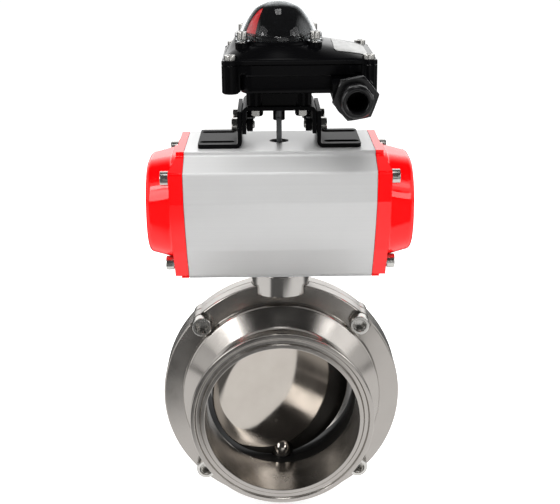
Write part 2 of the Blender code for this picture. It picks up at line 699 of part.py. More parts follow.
def build_end_cap(name, along, side):
    """A flange with the body's outline and a hollow round-cornered barrel with draft."""
    cap = prism(name, actuator_outline(), CAP_X, CAP_X + CAP_FLANGE_T, along)
    lip = side * (CAP_X + CAP_LIP_T)
    full = side * (CAP_X + CAP_FLANGE_T + GAP)
    far = side * (CAP_X + CAP_DEPTH)
    step_z = ACTUATOR_TOP - TOP_STEP
    foot_z = ACTUATOR_BOTTOM + FOOT_H
    chamfer = [(lip, ACTUATOR_TOP + CAP_DEPTH), (lip, step_z), (full, ACTUATOR_BOTTOM + RIDGE_H),
               (far, ACTUATOR_BOTTOM + RIDGE_H), (far, ACTUATOR_TOP + CAP_DEPTH)]
    cut(cap,
        prism(name + "_top_chamfer", chamfer, -2 * RIDGE_HALF_W, 2 * RIDGE_HALF_W, "-Y"),
        block(name + "_bottom_lip", (min(lip, far), -2 * RIDGE_HALF_W, foot_z - CAP_DEPTH),
              (max(lip, far), 2 * RIDGE_HALF_W, foot_z - FOOT_SLOPE / 2)))
    levels = [(CAP_FLANGE_T / 2, 0.0, CAP_CORNER_R), (CAP_DEPTH - CAP_EDGE, CAP_DRAFT, CAP_CORNER_R),
              (CAP_DEPTH, CAP_DRAFT + CAP_EDGE, CAP_CORNER_R - CAP_EDGE / 2)]
    rings = []
    for x, inset, corner in levels:
        half_w = CAP_HALF_W - inset
        half_h = CAP_HALF_H - inset
        rings.append(level(rounded_box(-half_w, half_w, -half_h, half_h, corner), x))
    barrel = loft(name + "_barrel", rings)
    join(cap, place(barrel, along, (side * CAP_X, 0, CYLINDER_Z)))
    hollow = CAP_HALF_H - CAP_DRAFT - CAP_EDGE - CAP_WALL
    cut(cap, rod(name + "_hollow", hollow, -CAP_DEPTH, CAP_DEPTH - CAP_WALL, along,
                 (side * CAP_X, 0, CYLINDER_Z), 32))
    for y, z in CAP_SCREW_PLACES:
        cut(cap, rod(name + "_screw_hole", CAP_SCREW_R + GAP, -CAP_DEPTH, CAP_DEPTH, along,
                     (side * CAP_X, y, z), 12))
        cut(cap, rod(name + "_head_room", CAP_SCREW_HEAD_R + GAP, CAP_FLANGE_T + GAP / 2, CAP_DEPTH, along,
                     (side * CAP_X, y, z)))
    keep(cap, RED_PAINT)


def gear_outline():
    """Thinned involute teeth, approximated by three points on each flank."""
    base_r = PITCH_R * cos(PRESSURE_ANGLE)
    spread = tan(PRESSURE_ANGLE) - PRESSURE_ANGLE
    points = []
    for tooth in range(GEAR_TEETH):
        middle = pi / 2 + 2 * pi * tooth / GEAR_TEETH
        flank = []
        for radius in (PITCH_R - 1.25 * GEAR_MODULE, PITCH_R, PITCH_R + GEAR_MODULE):
            slope = acos(min(1.0, base_r / radius))
            half = pi / 2 / GEAR_TEETH + spread - (tan(slope) - slope) - TOOTH_THINNING / radius
            flank.append((radius, half))
        for radius, half in flank:
            points.append((radius * cos(middle - half), radius * sin(middle - half)))
        for radius, half in reversed(flank):
            points.append((radius * cos(middle + half), radius * sin(middle + half)))
    return points


def rack_outline():
    """A toothed bar in front of the pinion, with a gap between teeth at X = 0."""
    tip = -(PITCH_R - GEAR_MODULE)
    root = -(PITCH_R + 1.25 * GEAR_MODULE)
    back = root - RACK_BACK
    start = -(PISTON_INNER_X - RACK_END_GAP)
    at_tip = TOOTH_PITCH / 4 - TOOTH_THINNING - GEAR_MODULE * tan(PRESSURE_ANGLE)
    at_root = TOOTH_PITCH / 4 - TOOTH_THINNING + 1.25 * GEAR_MODULE * tan(PRESSURE_ANGLE)
    points = [(PISTON_INNER_X + PISTON_T / 2, back), (PISTON_INNER_X + PISTON_T / 2, root)]
    tooth = int((PISTON_INNER_X - at_root) / TOOTH_PITCH - 0.5)
    middle = (tooth + 0.5) * TOOTH_PITCH
    while middle - at_root > start:
        points += [(middle + at_root, root), (middle + at_tip, tip),
                   (middle - at_tip, tip), (middle - at_root, root)]
        middle -= TOOTH_PITCH
    return points + [(start, root), (start, back)]


def build_piston(name, along, turn):
    head = rod(name, CYLINDER_R - GAP, PISTON_INNER_X, PISTON_INNER_X + PISTON_T, along,
               (0, 0, CYLINDER_Z), ROUND_STEPS)
    bar = prism(name + "_rack", rack_outline(), -RACK_HEIGHT / 2, RACK_HEIGHT / 2)
    bar.matrix_world = Matrix.Translation((0, 0, CYLINDER_Z)) @ Matrix.Rotation(turn, 4, "Z")
    join(head, bar)
    piston = keep(head, ALUMINIUM)
    piston.matrix_world = Matrix.Translation((PITCH_R * PART_OPEN * cos(turn), 0, 0)) @ piston.matrix_world


def build_pinion():
    bottom = ACTUATOR_BOTTOM + SPIGOT_DEPTH + PINION_TAIL
    shaft_low = CYLINDER_Z - CYLINDER_R
    shaft_high = CYLINDER_Z + CYLINDER_R - GAP
    pinion = turned("pinion", [(0, PINION_TOP), (PINION_UPPER_R, PINION_TOP), (PINION_UPPER_R, shaft_high),
                               (PINION_SHAFT_R, shaft_high), (PINION_SHAFT_R, shaft_low + PINION_TAIL),
                               (PINION_LOWER_R, shaft_low), (PINION_LOWER_R, bottom), (0, bottom)],
                    steps=32, closed=False)
    half_gear = GEAR_HEIGHT / 2
    join(pinion, prism("pinion_teeth", gear_outline(), CYLINDER_Z - half_gear, CYLINDER_Z + half_gear))
    half_socket = STEM_SQUARE / 2 + GAP
    half_slot = TONGUE_T / 2 + GAP
    # Where the valve stands, the slot for the tongue lies along the pipe
    slot = block("tongue_slot", (-half_slot, -2 * PINION_UPPER_R, TONGUE_Z - GAP),
                 (half_slot, 2 * PINION_UPPER_R, PINION_TOP + PINION_UPPER_R))
    slot.rotation_euler.z = -PART_OPEN
    cut(pinion,
        block("stem_socket", (-half_socket, -half_socket, bottom - STEM_SQUARE),
              (half_socket, half_socket, STEM_TOP_Z + SOCKET_FLOOR_GAP)),
        slot)
    turn_open(keep(pinion, SCREW_STEEL))

    spigot_top = ACTUATOR_BOTTOM + SPIGOT_DEPTH
    for name, journal, low, high in (
            ("upper_pinion_bush", PINION_UPPER_R, shaft_high + GAP, PINION_TOP),
            ("lower_pinion_bush", PINION_LOWER_R, spigot_top + 2 * GAP, shaft_low - GAP)):
        inner = journal + GAP
        keep(ring(name, inner, inner + PINION_BUSH_WALL, low, high, steps=24), BUSH_PLASTIC)


def build_actuator():
    build_actuator_body()
    build_end_cap("left_end_cap", "-X", -1)
    build_end_cap("right_end_cap", "X", 1)
    build_piston("right_piston", "X", 0)
    build_piston("left_piston", "-X", pi)
    build_pinion()
    seat = CAP_X + CAP_FLANGE_T + GAP
    screw = screw_mesh(CAP_SCREW_R, CAP_FLANGE_T + CAP_SCREW_BITE, CAP_SCREW_HEAD_R, CAP_SCREW_HEAD_H,
                       CAP_SCREW_SOCKET)
    copies("cap_screw", screw, SCREW_STEEL,
           [(along, (side * seat, y, z)) for along, side in (("-X", -1), ("X", 1))
            for y, z in CAP_SCREW_PLACES])


# Bracket

def bend_arc(cx, cz, radius, first, steps=4):
    """A quarter turn of points about (cx, cz), anticlockwise from the angle first."""
    return [(cx + radius * cos(first + pi / 2 * k / steps), cz + radius * sin(first + pi / 2 * k / steps))
            for k in range(steps + 1)]


def build_foot(name, side):
    """A sheet bent up at its inner end, with two slots for the actuator's top screws."""
    inner = BRACKET_HALF_W - SHEET
    outer_bend = BEND_R + SHEET
    cx = inner + outer_bend
    cz = BRACKET_Z + outer_bend
    top = BRIDGE_BOTTOM - GAP
    outline = [(FOOT_OUTER_X, BRACKET_Z), (FOOT_OUTER_X, BRACKET_Z + SHEET)]
    outline += list(reversed(bend_arc(cx, cz, BEND_R, pi)))
    outline += [(BRACKET_HALF_W, top), (inner, top)]
    outline += bend_arc(cx, cz, outer_bend, pi)
    foot = prism(name, [(side * x, z) for x, z in outline], -BRACKET_HALF_DEPTH, BRACKET_HALF_DEPTH, "-Y")
    slot_x = side * (FOOT_OUTER_X + cx) / 2
    for y in (-FOOT_SLOT_SPACING / 2, FOOT_SLOT_SPACING / 2):
        half_l = FOOT_SLOT_L / 2
        half_w = FOOT_SLOT_W / 2
        slot = rounded_box(slot_x - half_l, slot_x + half_l, y - half_w, y + half_w, half_w * 0.98)
        cut(foot, prism(f"{name}_slot", slot, BRACKET_Z - SHEET, BRACKET_Z + 2 * SHEET))
    for y in (-LEG_BOLT_HALF_SPACING, LEG_BOLT_HALF_SPACING):
        cut(foot, rod(f"{name}_hole", LEG_BOLT_R + GAP, 0, 2 * BRACKET_HALF_W, "X" if side > 0 else "-X",
                      (0, y, BRACKET_Z + LEG_BOLT_H), 12))
    keep(foot, BLACK_PAINT)


def build_bridge():
    """A plate with its two sides turned down inside the feet."""
    inner = FLANGE_X - SHEET
    low = BRIDGE_TOP - BRIDGE_FLANGE_H
    cx = inner - BEND_R
    cz = BRIDGE_BOTTOM - BEND_R
    half = [(FLANGE_X, low)] + bend_arc(cx, cz, BEND_R + SHEET, 0)
    lower = list(reversed(bend_arc(cx, cz, BEND_R, 0))) + [(inner, low)]
    outline = half + [(-x, z) for x, z in reversed(half)]
    outline += [(-x, z) for x, z in reversed(lower)] + lower
    bridge = prism("bracket_bridge", outline, -BRIDGE_HALF_DEPTH, BRIDGE_HALF_DEPTH, "-Y")
    cut(bridge, rod("bridge_shaft_hole", SHAFT_R + 4 * GAP, BRIDGE_BOTTOM - SHEET, BRIDGE_TOP + SHEET,
                    steps=24))
    for side in (-1, 1):
        cut(bridge, rod("bridge_box_hole", BOX_BOLT_R + GAP, BRIDGE_BOTTOM - SHEET, BRIDGE_TOP + SHEET,
                        at=(side * BOX_BOLT_X, -BOX_BOLT_Y, 0), steps=12))
    for y in (-LEG_BOLT_HALF_SPACING, LEG_BOLT_HALF_SPACING):
        cut(bridge, rod("bridge_leg_hole", LEG_BOLT_R + GAP, -2 * BRACKET_HALF_W, 2 * BRACKET_HALF_W, "X",
                        (0, y, BRACKET_Z + LEG_BOLT_H), 12))
    keep(bridge, BLACK_PAINT)


def build_bracket():
    build_foot("left_foot", -1)
    build_foot("right_foot", 1)
    build_bridge()
    grip = 2 * SHEET + 3 * GAP
    shank = grip + LEG_NUT_H + LEG_BOLT_TAIL
    bolt = hex_bolt_mesh(LEG_BOLT_R, shank, LEG_BOLT_HEAD_R, LEG_BOLT_HEAD_H)
    nut = prism("nut", hexagon(2 * LEG_NUT_R * cos(pi / 6)), 0, LEG_NUT_H)
    cut(nut, rod("nut_hole", LEG_BOLT_R + GAP, -LEG_NUT_H, 2 * LEG_NUT_H, steps=12))
    nut = frozen(nut)
    height = BRACKET_Z + LEG_BOLT_H
    rows = [(inward, side, y) for inward, side in (("X", -1), ("-X", 1))
            for y in (-LEG_BOLT_HALF_SPACING, LEG_BOLT_HALF_SPACING)]
    copies("leg_bolt", bolt, SCREW_STEEL,
           [(inward, (side * (BRACKET_HALF_W + GAP), y, height)) for inward, side, y in rows])
    copies("leg_nut", nut, BLACK_PAINT,
           [(inward, (side * (FLANGE_X - SHEET - GAP), y, height)) for inward, side, y in rows])
    box_bolt = hex_bolt_mesh(BOX_BOLT_R, SHEET + 2 * GAP + BOX_BOLT_BITE, BOX_BOLT_HEAD_R, BOX_BOLT_HEAD_H)
    copies("box_bolt", box_bolt, SCREW_STEEL,
           [("Z", (side * BOX_BOLT_X, -BOX_BOLT_Y, BRIDGE_BOTTOM - GAP)) for side in (-1, 1)])


# Switch box

def box_outline(inset):
    corner = max(BOX_CORNER_R - inset, BOX_WALL)
    depth = BOX_HALF_DEPTH - inset
    return rounded_box(inset - BOX_LEFT, BOX_RIGHT - inset, -depth, depth, corner)


def gland_boss_outline():
    """Round entry boss with a web that slants up to the box's underside, as (x, z)."""
    reach = GLAND_BOSS_R + GLAND_WEB
    drop = BOX_Z - GLAND_Z
    start = pi + acos(GLAND_BOSS_R / hypot(reach, drop)) - acos(reach / hypot(reach, drop))
    arc = [(GLAND_X + GLAND_BOSS_R * cos(start + (2.25 * pi - start) * k / 14),
            GLAND_Z + GLAND_BOSS_R * sin(start + (2.25 * pi - start) * k / 14)) for k in range(15)]
    return arc + [(GLAND_X - reach, BOX_FLOOR + GLAND_BOSS_R / 2), (GLAND_X - reach, BOX_Z)]


def build_box_base():
    base = prism("switch_box_base", box_outline(0), BOX_Z, PARTING_Z)
    join(base, block("pedestal", (-PEDESTAL_HALF_W, -PEDESTAL_HALF_DEPTH, PEDESTAL_Z),
                     (PEDESTAL_HALF_W, PEDESTAL_HALF_DEPTH, BOX_Z + BOX_WALL / 2)))
    for number, (x, y) in enumerate(LUGS):
        join(base, rod(f"base_lug_{number}", LUG_R, BOX_Z + LUG_SETBACK, PARTING_Z - LUG_SETBACK,
                       at=(x, y, 0)))
    join(base, prism("gland_boss", gland_boss_outline(), GLAND_BOSS_BACK, GLAND_BOSS_FRONT, "-Y"))
    for number, (x, y) in enumerate(LUGS):
        cut(base, rod(f"base_lug_hole_{number}", LID_SCREW_R + GAP, PARTING_Z - LID_SCREW_BITE,
                      PARTING_Z + LID_SCREW_BITE, at=(x, y, 0)))
    cut(base, prism("box_hollow", box_outline(BOX_WALL), BOX_FLOOR, PARTING_Z + BOX_H))
    thread_end = GLAND_BOSS_FRONT - GLAND_THREAD_L - 2 * GAP
    wire_z = max(GLAND_Z + GLAND_THREAD_R / 2, BOX_FLOOR + WIRE_HOLE_R)
    cut(base,
        rod("gland_hole", GLAND_THREAD_R + GAP, thread_end, 2 * GLAND_BOSS_FRONT, "-Y",
            (GLAND_X, 0, GLAND_Z), 24),
        rod("wire_hole", WIRE_HOLE_R, BOX_HALF_DEPTH - 2 * BOX_WALL, thread_end + WIRE_HOLE_R, "-Y",
            (GLAND_X, 0, wire_z), 12),
        rod("base_shaft_hole", SHAFT_R + GAP, PEDESTAL_Z - BOX_H, PARTING_Z, steps=24))
    for side in (-1, 1):
        cut(base, rod("base_bolt_hole", BOX_BOLT_R + GAP, PEDESTAL_Z - BOX_BOLT_BITE,
                      PEDESTAL_Z + BOX_BOLT_BITE + GAP, at=(side * BOX_BOLT_X, -BOX_BOLT_Y, 0), steps=12))
    keep(base, BLACK_PAINT)


def build_lid():
    rim_top = LID_Z + LID_RIM
    seat_r = DOME_FLANGE_R + GAP
    lid = loft("switch_box_lid", [
        level(box_outline(0), LID_Z), level(box_outline(0), rim_top),
        level(box_outline(LID_SHELF), rim_top + LID_SHELF * 0.3),
        level(round_outline(seat_r + LID_SHELF * 0.6), LID_TOP - LID_SHELF * 0.6),
        level(round_outline(seat_r), LID_TOP)])
    posts = [(DOME_SCREW_CIRCLE_R * cos(a), DOME_SCREW_CIRCLE_R * sin(a), 0) for a in DOME_SCREW_ANGLES]
    for number, (x, y) in enumerate(LUGS):
        join(lid, rod(f"lid_lug_{number}", LUG_R, LID_Z + LUG_SETBACK, rim_top - LUG_SETBACK, at=(x, y, 0)))
    for number, at in enumerate(posts):
        join(lid, rod(f"dome_post_{number}", DOME_LUG_R, rim_top, LID_TOP - LUG_SETBACK, at=at))
    hollow = loft("lid_hollow", [
        level(box_outline(LID_WALL), LID_Z - LID_WALL),
        level(box_outline(LID_WALL), rim_top - LID_WALL / 2),
        level(round_outline(seat_r - 2 * LID_WALL), LID_TOP - 1.5 * LID_WALL)])
    cut(lid, hollow, rod("lid_shaft_hole", SHAFT_R + GAP, LID_Z - LID_RISE, LID_TOP + LID_RISE, steps=24))
    for number, (x, y) in enumerate(LUGS):
        cut(lid, rod(f"lid_lug_hole_{number}", LID_SCREW_R + GAP, LID_Z - LID_RIM, LID_TOP,
                     at=(x, y, 0), steps=10))
    for number, at in enumerate(posts):
        cut(lid, rod(f"dome_post_hole_{number}", DOME_SCREW_R + GAP, LID_TOP - DOME_SCREW_BITE - GAP,
                     LID_TOP + LID_RISE, at=at))
    keep(lid, BLACK_PAINT)


def dome_arc(radius, height, base):
    """From the apex down the outside of a dome with straightish flanks, as (radius, z)."""
    shares = ((0, 1), (0.29, 0.955), (0.52, 0.855), (0.67, 0.70), (0.82, 0.45), (0.93, 0.20), (1, 0))
    return [(radius * out, base + height * up) for out, up in shares]


def build_indicator():
    top = DOME_Z + DOME_FLANGE_T
    outer = dome_arc(DOME_R, DOME_H - DOME_FLANGE_T, top)
    inner = dome_arc(DOME_R - DOME_WALL, DOME_H - DOME_FLANGE_T - DOME_WALL, top)
    profile = outer + [(DOME_FLANGE_R, top), (DOME_FLANGE_R, DOME_Z), (DOME_R - DOME_WALL, DOME_Z)]
    dome = turned("indicator_dome", profile + list(reversed(inner)), closed=False, steps=28)
    for number, angle in enumerate(DOME_SCREW_ANGLES):
        at = (DOME_SCREW_CIRCLE_R * cos(angle), DOME_SCREW_CIRCLE_R * sin(angle), 0)
        join(dome, rod(f"dome_lug_{number}", DOME_LUG_R, DOME_Z + LUG_SETBACK, top - LUG_SETBACK, at=at))
        cut(dome, rod(f"dome_lug_hole_{number}", DOME_SCREW_R + GAP, DOME_Z - DOME_H, top + DOME_H, at=at))
    cut(dome, rod("dome_inside", DOME_R - DOME_WALL, DOME_Z - DOME_H, top, steps=28))
    keep(dome, CLEAR_PLASTIC)

    height = DOME_H - DOME_FLANGE_T - DOME_WALL - GAP
    shell = dome_arc(SHROUD_R, height, top)
    inside = dome_arc(SHROUD_R - SHROUD_WALL, height - SHROUD_WALL, top)
    foot = [(SHROUD_R, DOME_Z), (SHROUD_R - SHROUD_WALL, DOME_Z)]
    shroud = turned("indicator_shroud", shell + foot + list(reversed(inside)), closed=False, steps=28)
    for side in (-1, 1):
        window = prism(f"window_{side}", [(side * (WINDOW_INNER_X + u * DOME_R), v * DOME_R)
                                          for u, v in ((0, 0), (2, -2), (2, 2))],
                       top, top + DOME_H)
        cut(shroud, window)
    shroud = keep(shroud, BLACK_PAINT)
    shroud.matrix_world = Matrix.Rotation(SHROUD_TURN, 4, "Z") @ shroud.matrix_world

    rotor_h = height - SHROUD_WALL - ROTOR_CLEARANCE - (ROTOR_Z - top)
    rotor_profile = dome_arc(ROTOR_R, rotor_h, ROTOR_Z)
    rotor = turned("indicator_rotor", rotor_profile + [(0, ROTOR_Z)], closed=False, steps=32)
    cut(rotor, rod("rotor_socket", SHAFT_R + GAP, ROTOR_Z - ROTOR_SOCKET, ROTOR_Z + ROTOR_SOCKET, steps=24))
    turn_open(keep(rotor, RED_PLASTIC))

    screw = screw_mesh(DOME_SCREW_R, DOME_FLANGE_T + DOME_SCREW_BITE, DOME_SCREW_HEAD_R, DOME_SCREW_HEAD_H,
                       DOME_SCREW_SOCKET)
    copies("dome_screw", screw, SCREW_STEEL,
           [("Z", (DOME_SCREW_CIRCLE_R * cos(a), DOME_SCREW_CIRCLE_R * sin(a), top))
            for a in DOME_SCREW_ANGLES])


def cam_outline(first):
    """A round cam whose lobe covers the quarter turn that starts at the angle first."""
    points = []
    for k in range(32):
        angle = 2 * pi * k / 32
        on_lobe = (angle - first) % (2 * pi) <= pi / 2 + 0.01
        radius = CAM_LOBE_R if on_lobe else CAM_R
        points.append((radius * cos(angle), radius * sin(angle)))
    return points


def build_switches():
    collar_z = ACTUATOR_TOP + TONGUE_ABOVE
    nose = collar_z - SHAFT_NOSE_R / 2
    profile = [(0, SHAFT_TOP), (SHAFT_R, SHAFT_TOP), (SHAFT_R, BRIDGE_TOP),
               (SHAFT_NOSE_R, BRIDGE_BOTTOM), (SHAFT_NOSE_R, nose), (0, nose)]
    shaft = turned("switch_shaft", profile, steps=24, closed=False)
    join(shaft, block("tongue", (-TONGUE_T / 2, -TONGUE_W / 2, TONGUE_Z),
                      (TONGUE_T / 2, TONGUE_W / 2, collar_z)))
    keep(shaft, SCREW_STEEL)
    low = BOX_FLOOR + CAM_LIFT
    reach = CAM_LOBE_R + SENSOR_GAP
    for number, (cam_name, sensor_name, first) in enumerate((("lower_cam", "closed_sensor", -pi / 4),
                                                             ("upper_cam", "open_sensor", -3 * pi / 4))):
        z = low + number * CAM_PITCH
        cam = prism(cam_name, cam_outline(first), z, z + CAM_T)
        cut(cam, rod(cam_name + "_hole", SHAFT_R + GAP, z - CAM_T, z + 2 * CAM_T, steps=24))
        turn_open(keep(cam, BUSH_PLASTIC))
        bottom = BOX_FLOOR + GAP + number * (CAM_PITCH + CAM_LIFT)
        sensor = block(sensor_name, (reach, -SENSOR_W / 2, bottom),
                       (reach + SENSOR_L, SENSOR_W / 2, bottom + CAM_PITCH + CAM_LIFT - GAP))
        keep(sensor, BLACK_PAINT)


def build_gland():
    front = GLAND_BOSS_FRONT + GAP
    at = (GLAND_X, -front, GLAND_Z)
    body = prism("gland_body", hexagon(GLAND_HEX, GLAND_TURN), 0, GLAND_HEX_T, "-Y", at)
    join(body,
         rod("gland_thread", GLAND_THREAD_R, -GLAND_THREAD_L, GLAND_HEX_T / 2, "-Y", at, 24),
         rod("gland_neck", GLAND_THREAD_R, GLAND_HEX_T / 2, GLAND_HEX_T + GLAND_NUT_GRIP, "-Y", at, 24))
    cut(body, rod("gland_way", GLAND_BORE_R, -GLAND_BOSS_FRONT, GLAND_BOSS_FRONT, "-Y", at, 24))
    keep(body, BLACK_PAINT)
    back = GLAND_HEX_T + GAP
    nose = back + GLAND_NUT_T
    inner = GLAND_THREAD_R + GAP
    step = GLAND_HEX_T + GLAND_NUT_GRIP + GAP
    profile = [(GLAND_NUT_NOSE_R, nose), (GLAND_NUT_R, nose - (GLAND_NUT_R - GLAND_NUT_NOSE_R)),
               (GLAND_NUT_R, back), (inner, back), (inner, step), (GLAND_BORE_R, step),
               (GLAND_BORE_R, nose)]
    keep(turned("gland_nut", profile, "-Y", at, 24), BLACK_PAINT)


def build_switch_box():
    build_box_base()
    build_lid()
    build_indicator()
    build_switches()
    build_gland()
    screw = screw_mesh(LID_SCREW_R, LID_RIM + LID_SCREW_BITE, LID_SCREW_HEAD_R, LID_SCREW_HEAD_H,
                       LID_SCREW_SOCKET)
    copies("lid_screw", screw, SCREW_STEEL, [("Z", (x, y, LID_Z + LID_RIM)) for x, y in LUGS])


build_valve()
build_actuator()
build_bracket()
build_switch_box()
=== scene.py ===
"""Looks of a hygienic butterfly valve with its air actuator and switch box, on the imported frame.

Sizes are in millimetres and turned into metres as a mesh is made. X runs along the actuator,
Y along the pipe away from the viewer, and Z up the stem.
"""
from math import acos, atan2, cos, hypot, pi, radians, sin, tan

import bpy
from mathutils import Matrix, Vector


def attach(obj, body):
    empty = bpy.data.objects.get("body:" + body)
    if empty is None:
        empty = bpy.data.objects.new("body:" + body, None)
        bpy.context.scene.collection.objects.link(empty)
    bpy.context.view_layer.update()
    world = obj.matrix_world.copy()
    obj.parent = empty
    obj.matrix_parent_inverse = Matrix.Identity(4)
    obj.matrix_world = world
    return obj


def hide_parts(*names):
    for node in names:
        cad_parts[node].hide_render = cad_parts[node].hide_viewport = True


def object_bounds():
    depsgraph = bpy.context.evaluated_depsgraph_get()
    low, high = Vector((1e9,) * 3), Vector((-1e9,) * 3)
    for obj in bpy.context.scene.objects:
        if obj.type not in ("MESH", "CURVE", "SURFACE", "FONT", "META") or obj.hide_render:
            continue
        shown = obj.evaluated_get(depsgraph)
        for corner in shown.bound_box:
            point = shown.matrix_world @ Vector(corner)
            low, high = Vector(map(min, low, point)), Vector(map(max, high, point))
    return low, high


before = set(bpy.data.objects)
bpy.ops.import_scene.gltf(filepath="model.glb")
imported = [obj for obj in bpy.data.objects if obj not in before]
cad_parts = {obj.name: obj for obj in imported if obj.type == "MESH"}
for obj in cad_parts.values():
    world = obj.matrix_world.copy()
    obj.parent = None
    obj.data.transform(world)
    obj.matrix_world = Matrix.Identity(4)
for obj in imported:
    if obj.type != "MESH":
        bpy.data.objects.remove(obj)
cad_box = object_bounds()

MM = 0.001
GAP = 0.3
DIAGONALS = (45, 135, 225, 315)
# Radius of a clearance hole for the two smaller screws
HOLE_M5 = 2.8
HOLE_M4 = 2.3
# Spacing of a wave pattern's rings at scale 1
RING_SPAN = 0.314

# Local Z of a turned or drawn piece, laid along a world axis
ALONG = {
    "Z": Matrix.Identity(4),
    "-Y": Matrix.Rotation(pi / 2, 4, "X"),
    "Y": Matrix.Rotation(-pi / 2, 4, "X"),
    "X": Matrix(((0, 0, 1, 0), (1, 0, 0, 0), (0, 1, 0, 0), (0, 0, 0, 1))),
    "-X": Matrix(((0, 0, -1, 0), (-1, 0, 0, 0), (0, 1, 0, 0), (0, 0, 0, 1))),
}

# Valve
BORE_R = 50.0
TUBE_R = 53.0
HALF_FACE = 52.0
FERRULE_R = 59.5
SHOULDER_R = 66.3
FLANGE_R = 79.4
FLANGE_T = 11.3
SCREW_CIRCLE_R = 73.6
BODY_SCREWS = [(SCREW_CIRCLE_R * cos(radians(a)), SCREW_CIRCLE_R * sin(radians(a))) for a in DIAGONALS]
EAR_R = 6.8
SPOT_R = 8.2
DISC_R = 48.7
PART_OPEN = 18.0
SLEEVE_R = 19.0
SLEEVE_LOW = 72.2

# Actuator
BODY_LOW = 86.5
BODY_TOP = 172.9
BODY_HALF_L = 59.0
BORE_Z = 133.5
CYLINDER_R = 31.5
CAP_X = 59.3
CAP_FLANGE = 8.6
CAP_DEPTH = 24.7
CAP_SCREWS = [(-44.0, 159.3), (-22.5, 98.5), (44.0, 159.3), (22.5, 98.5)]
CAP_SCREW_X = 68.2
PORT_Z = 150.5

# Bracket
SHEET = 2.5
FOOT_Z = 173.2
FOOT_IN = 23.4
FOOT_OUT = 51.0
BRIDGE_TOP = 198.9
BEND_R = 1.2
LEG_BOLT_Y = 16.0
LEG_BOLT_Z = 186.7
BOX_BOLT_X = 14.7
BOX_BOLT_Y = -14.0

# Switch box and indicator
PEDESTAL_Z = 199.2
BOX_Z = 208.8
PARTING_Z = 226.2
LID_Z = 226.5
LID_TOP = 238.7
RIM_TOP = LID_Z + 2.8
BOX_LEFT = 25.5
BOX_RIGHT = 50.0
BOX_HALF_DEPTH = 38.0
BOX_CORNER = 9.0
RIM_LEFT = 34.4
RIM_RIGHT = 58.9
RIM_CORNER = 12.0
LUGS = [(x, y) for x in (-29.3, 53.8) for y in (-34.5, 34.5)]
LUG_R = 5.3
DOME_Z = 239.0
DOME_R = 24.2
DOME_TOP = 262.6
DOME_FLANGE_R = 27.2
DOME_FLANGE_T = 3.0
DOME_WALL = 1.4
SHROUD_R = 22.5
SHROUD_WALL = 1.6
SHROUD_TURN = 25.0
WINDOW_HALF = 32.0
DOME_SCREWS = [(31.2 * cos(radians(a)), 31.2 * sin(radians(a))) for a in DIAGONALS]
GLAND_X = 44.0
GLAND_Z = 210.6
GLAND_FRONT = 60.3


# Modelling

def only(piece):
    """Leave one piece selected and active."""
    bpy.ops.object.select_all(action="DESELECT")
    piece.select_set(True)
    bpy.context.view_layer.objects.active = piece
    return piece


def circle(name, points, radius, fill="NOTHING"):
    bpy.ops.object.select_all(action="DESELECT")
    bpy.ops.mesh.primitive_circle_add(vertices=points, radius=radius * MM, fill_type=fill)
    piece = bpy.context.active_object
    piece.name = name
    return piece


def outward(piece):
    """Merge doubles and point the faces outwards, then leave edit mode."""
    bpy.ops.mesh.select_all(action="SELECT")
    bpy.ops.mesh.remove_doubles(threshold=1e-6)
    bpy.ops.mesh.normals_make_consistent(inside=False)
    bpy.ops.object.mode_set(mode="OBJECT")
    return piece


def pulled(name, profile, steps, along="Z", at=(0, 0, 0), hollow=False):
    """A turned piece: a circle pulled through (radius, height) pairs, one extrude and resize each."""
    radius, height = profile[0]
    piece = circle(name, steps, radius, "NOTHING" if hollow else "NGON")
    bpy.ops.object.mode_set(mode="EDIT")
    bpy.ops.mesh.select_all(action="SELECT")
    bpy.ops.transform.translate(value=(0, 0, height * MM))
    for to_radius, to_height in profile[1:] + ([profile[0]] if hollow else []):
        bpy.ops.mesh.extrude_region_move(
            TRANSFORM_OT_translate={"value": (0, 0, (to_height - height) * MM)})
        if to_radius == 0:
            bpy.ops.mesh.merge(type="CENTER")
            break
        share = to_radius / radius
        bpy.ops.transform.resize(value=(share, share, 1), center_override=(0, 0, to_height * MM))
        radius, height = to_radius, to_height
    return laid(outward(piece), along, at)


def rod(name, radius, low, high, steps, along="Z", at=(0, 0, 0)):
    """A plain cylinder, to cut or join with."""
    return pulled(name, [(radius, low), (radius, high)], steps, along, at)


def drawn(name, outline, low, high, along="Z", at=(0, 0, 0)):
    """An extruded piece: a circle whose points are moved to an outline, filled and pulled up."""
    piece = circle(name, len(outline), 1)
    for corner, (u, v) in zip(piece.data.vertices, outline):
        corner.co = Vector((u, v, low)) * MM
    bpy.ops.object.mode_set(mode="EDIT")
    bpy.ops.mesh.select_all(action="SELECT")
    bpy.ops.mesh.edge_face_add()
    bpy.ops.mesh.extrude_region_move(TRANSFORM_OT_translate={"value": (0, 0, (high - low) * MM)})
    return laid(outward(piece), along, at)


def lofted(name, rings, along="Z", at=(0, 0, 0)):
    """A piece bridged through rings of (x, y, z) points, which are circles moved point by point."""
    count = len(rings[0])
    piece = circle(name, count, 1)
    bpy.ops.object.mode_set(mode="EDIT")
    for _ in rings[1:]:
        bpy.ops.mesh.primitive_circle_add(vertices=count, radius=MM)
    bpy.ops.object.mode_set(mode="OBJECT")
    for corner, point in zip(piece.data.vertices, [p for ring in rings for p in ring]):
        corner.co = Vector(point) * MM
    bpy.ops.object.mode_set(mode="EDIT")
    bpy.ops.mesh.select_all(action="SELECT")
    bpy.ops.mesh.bridge_edge_loops()
    last = count * (len(rings) - 1)
    for first in (0, last):
        picked(piece, lambda corner: first <= corner.index < first + count)
        bpy.ops.mesh.edge_face_add()
    return laid(outward(piece), along, at)


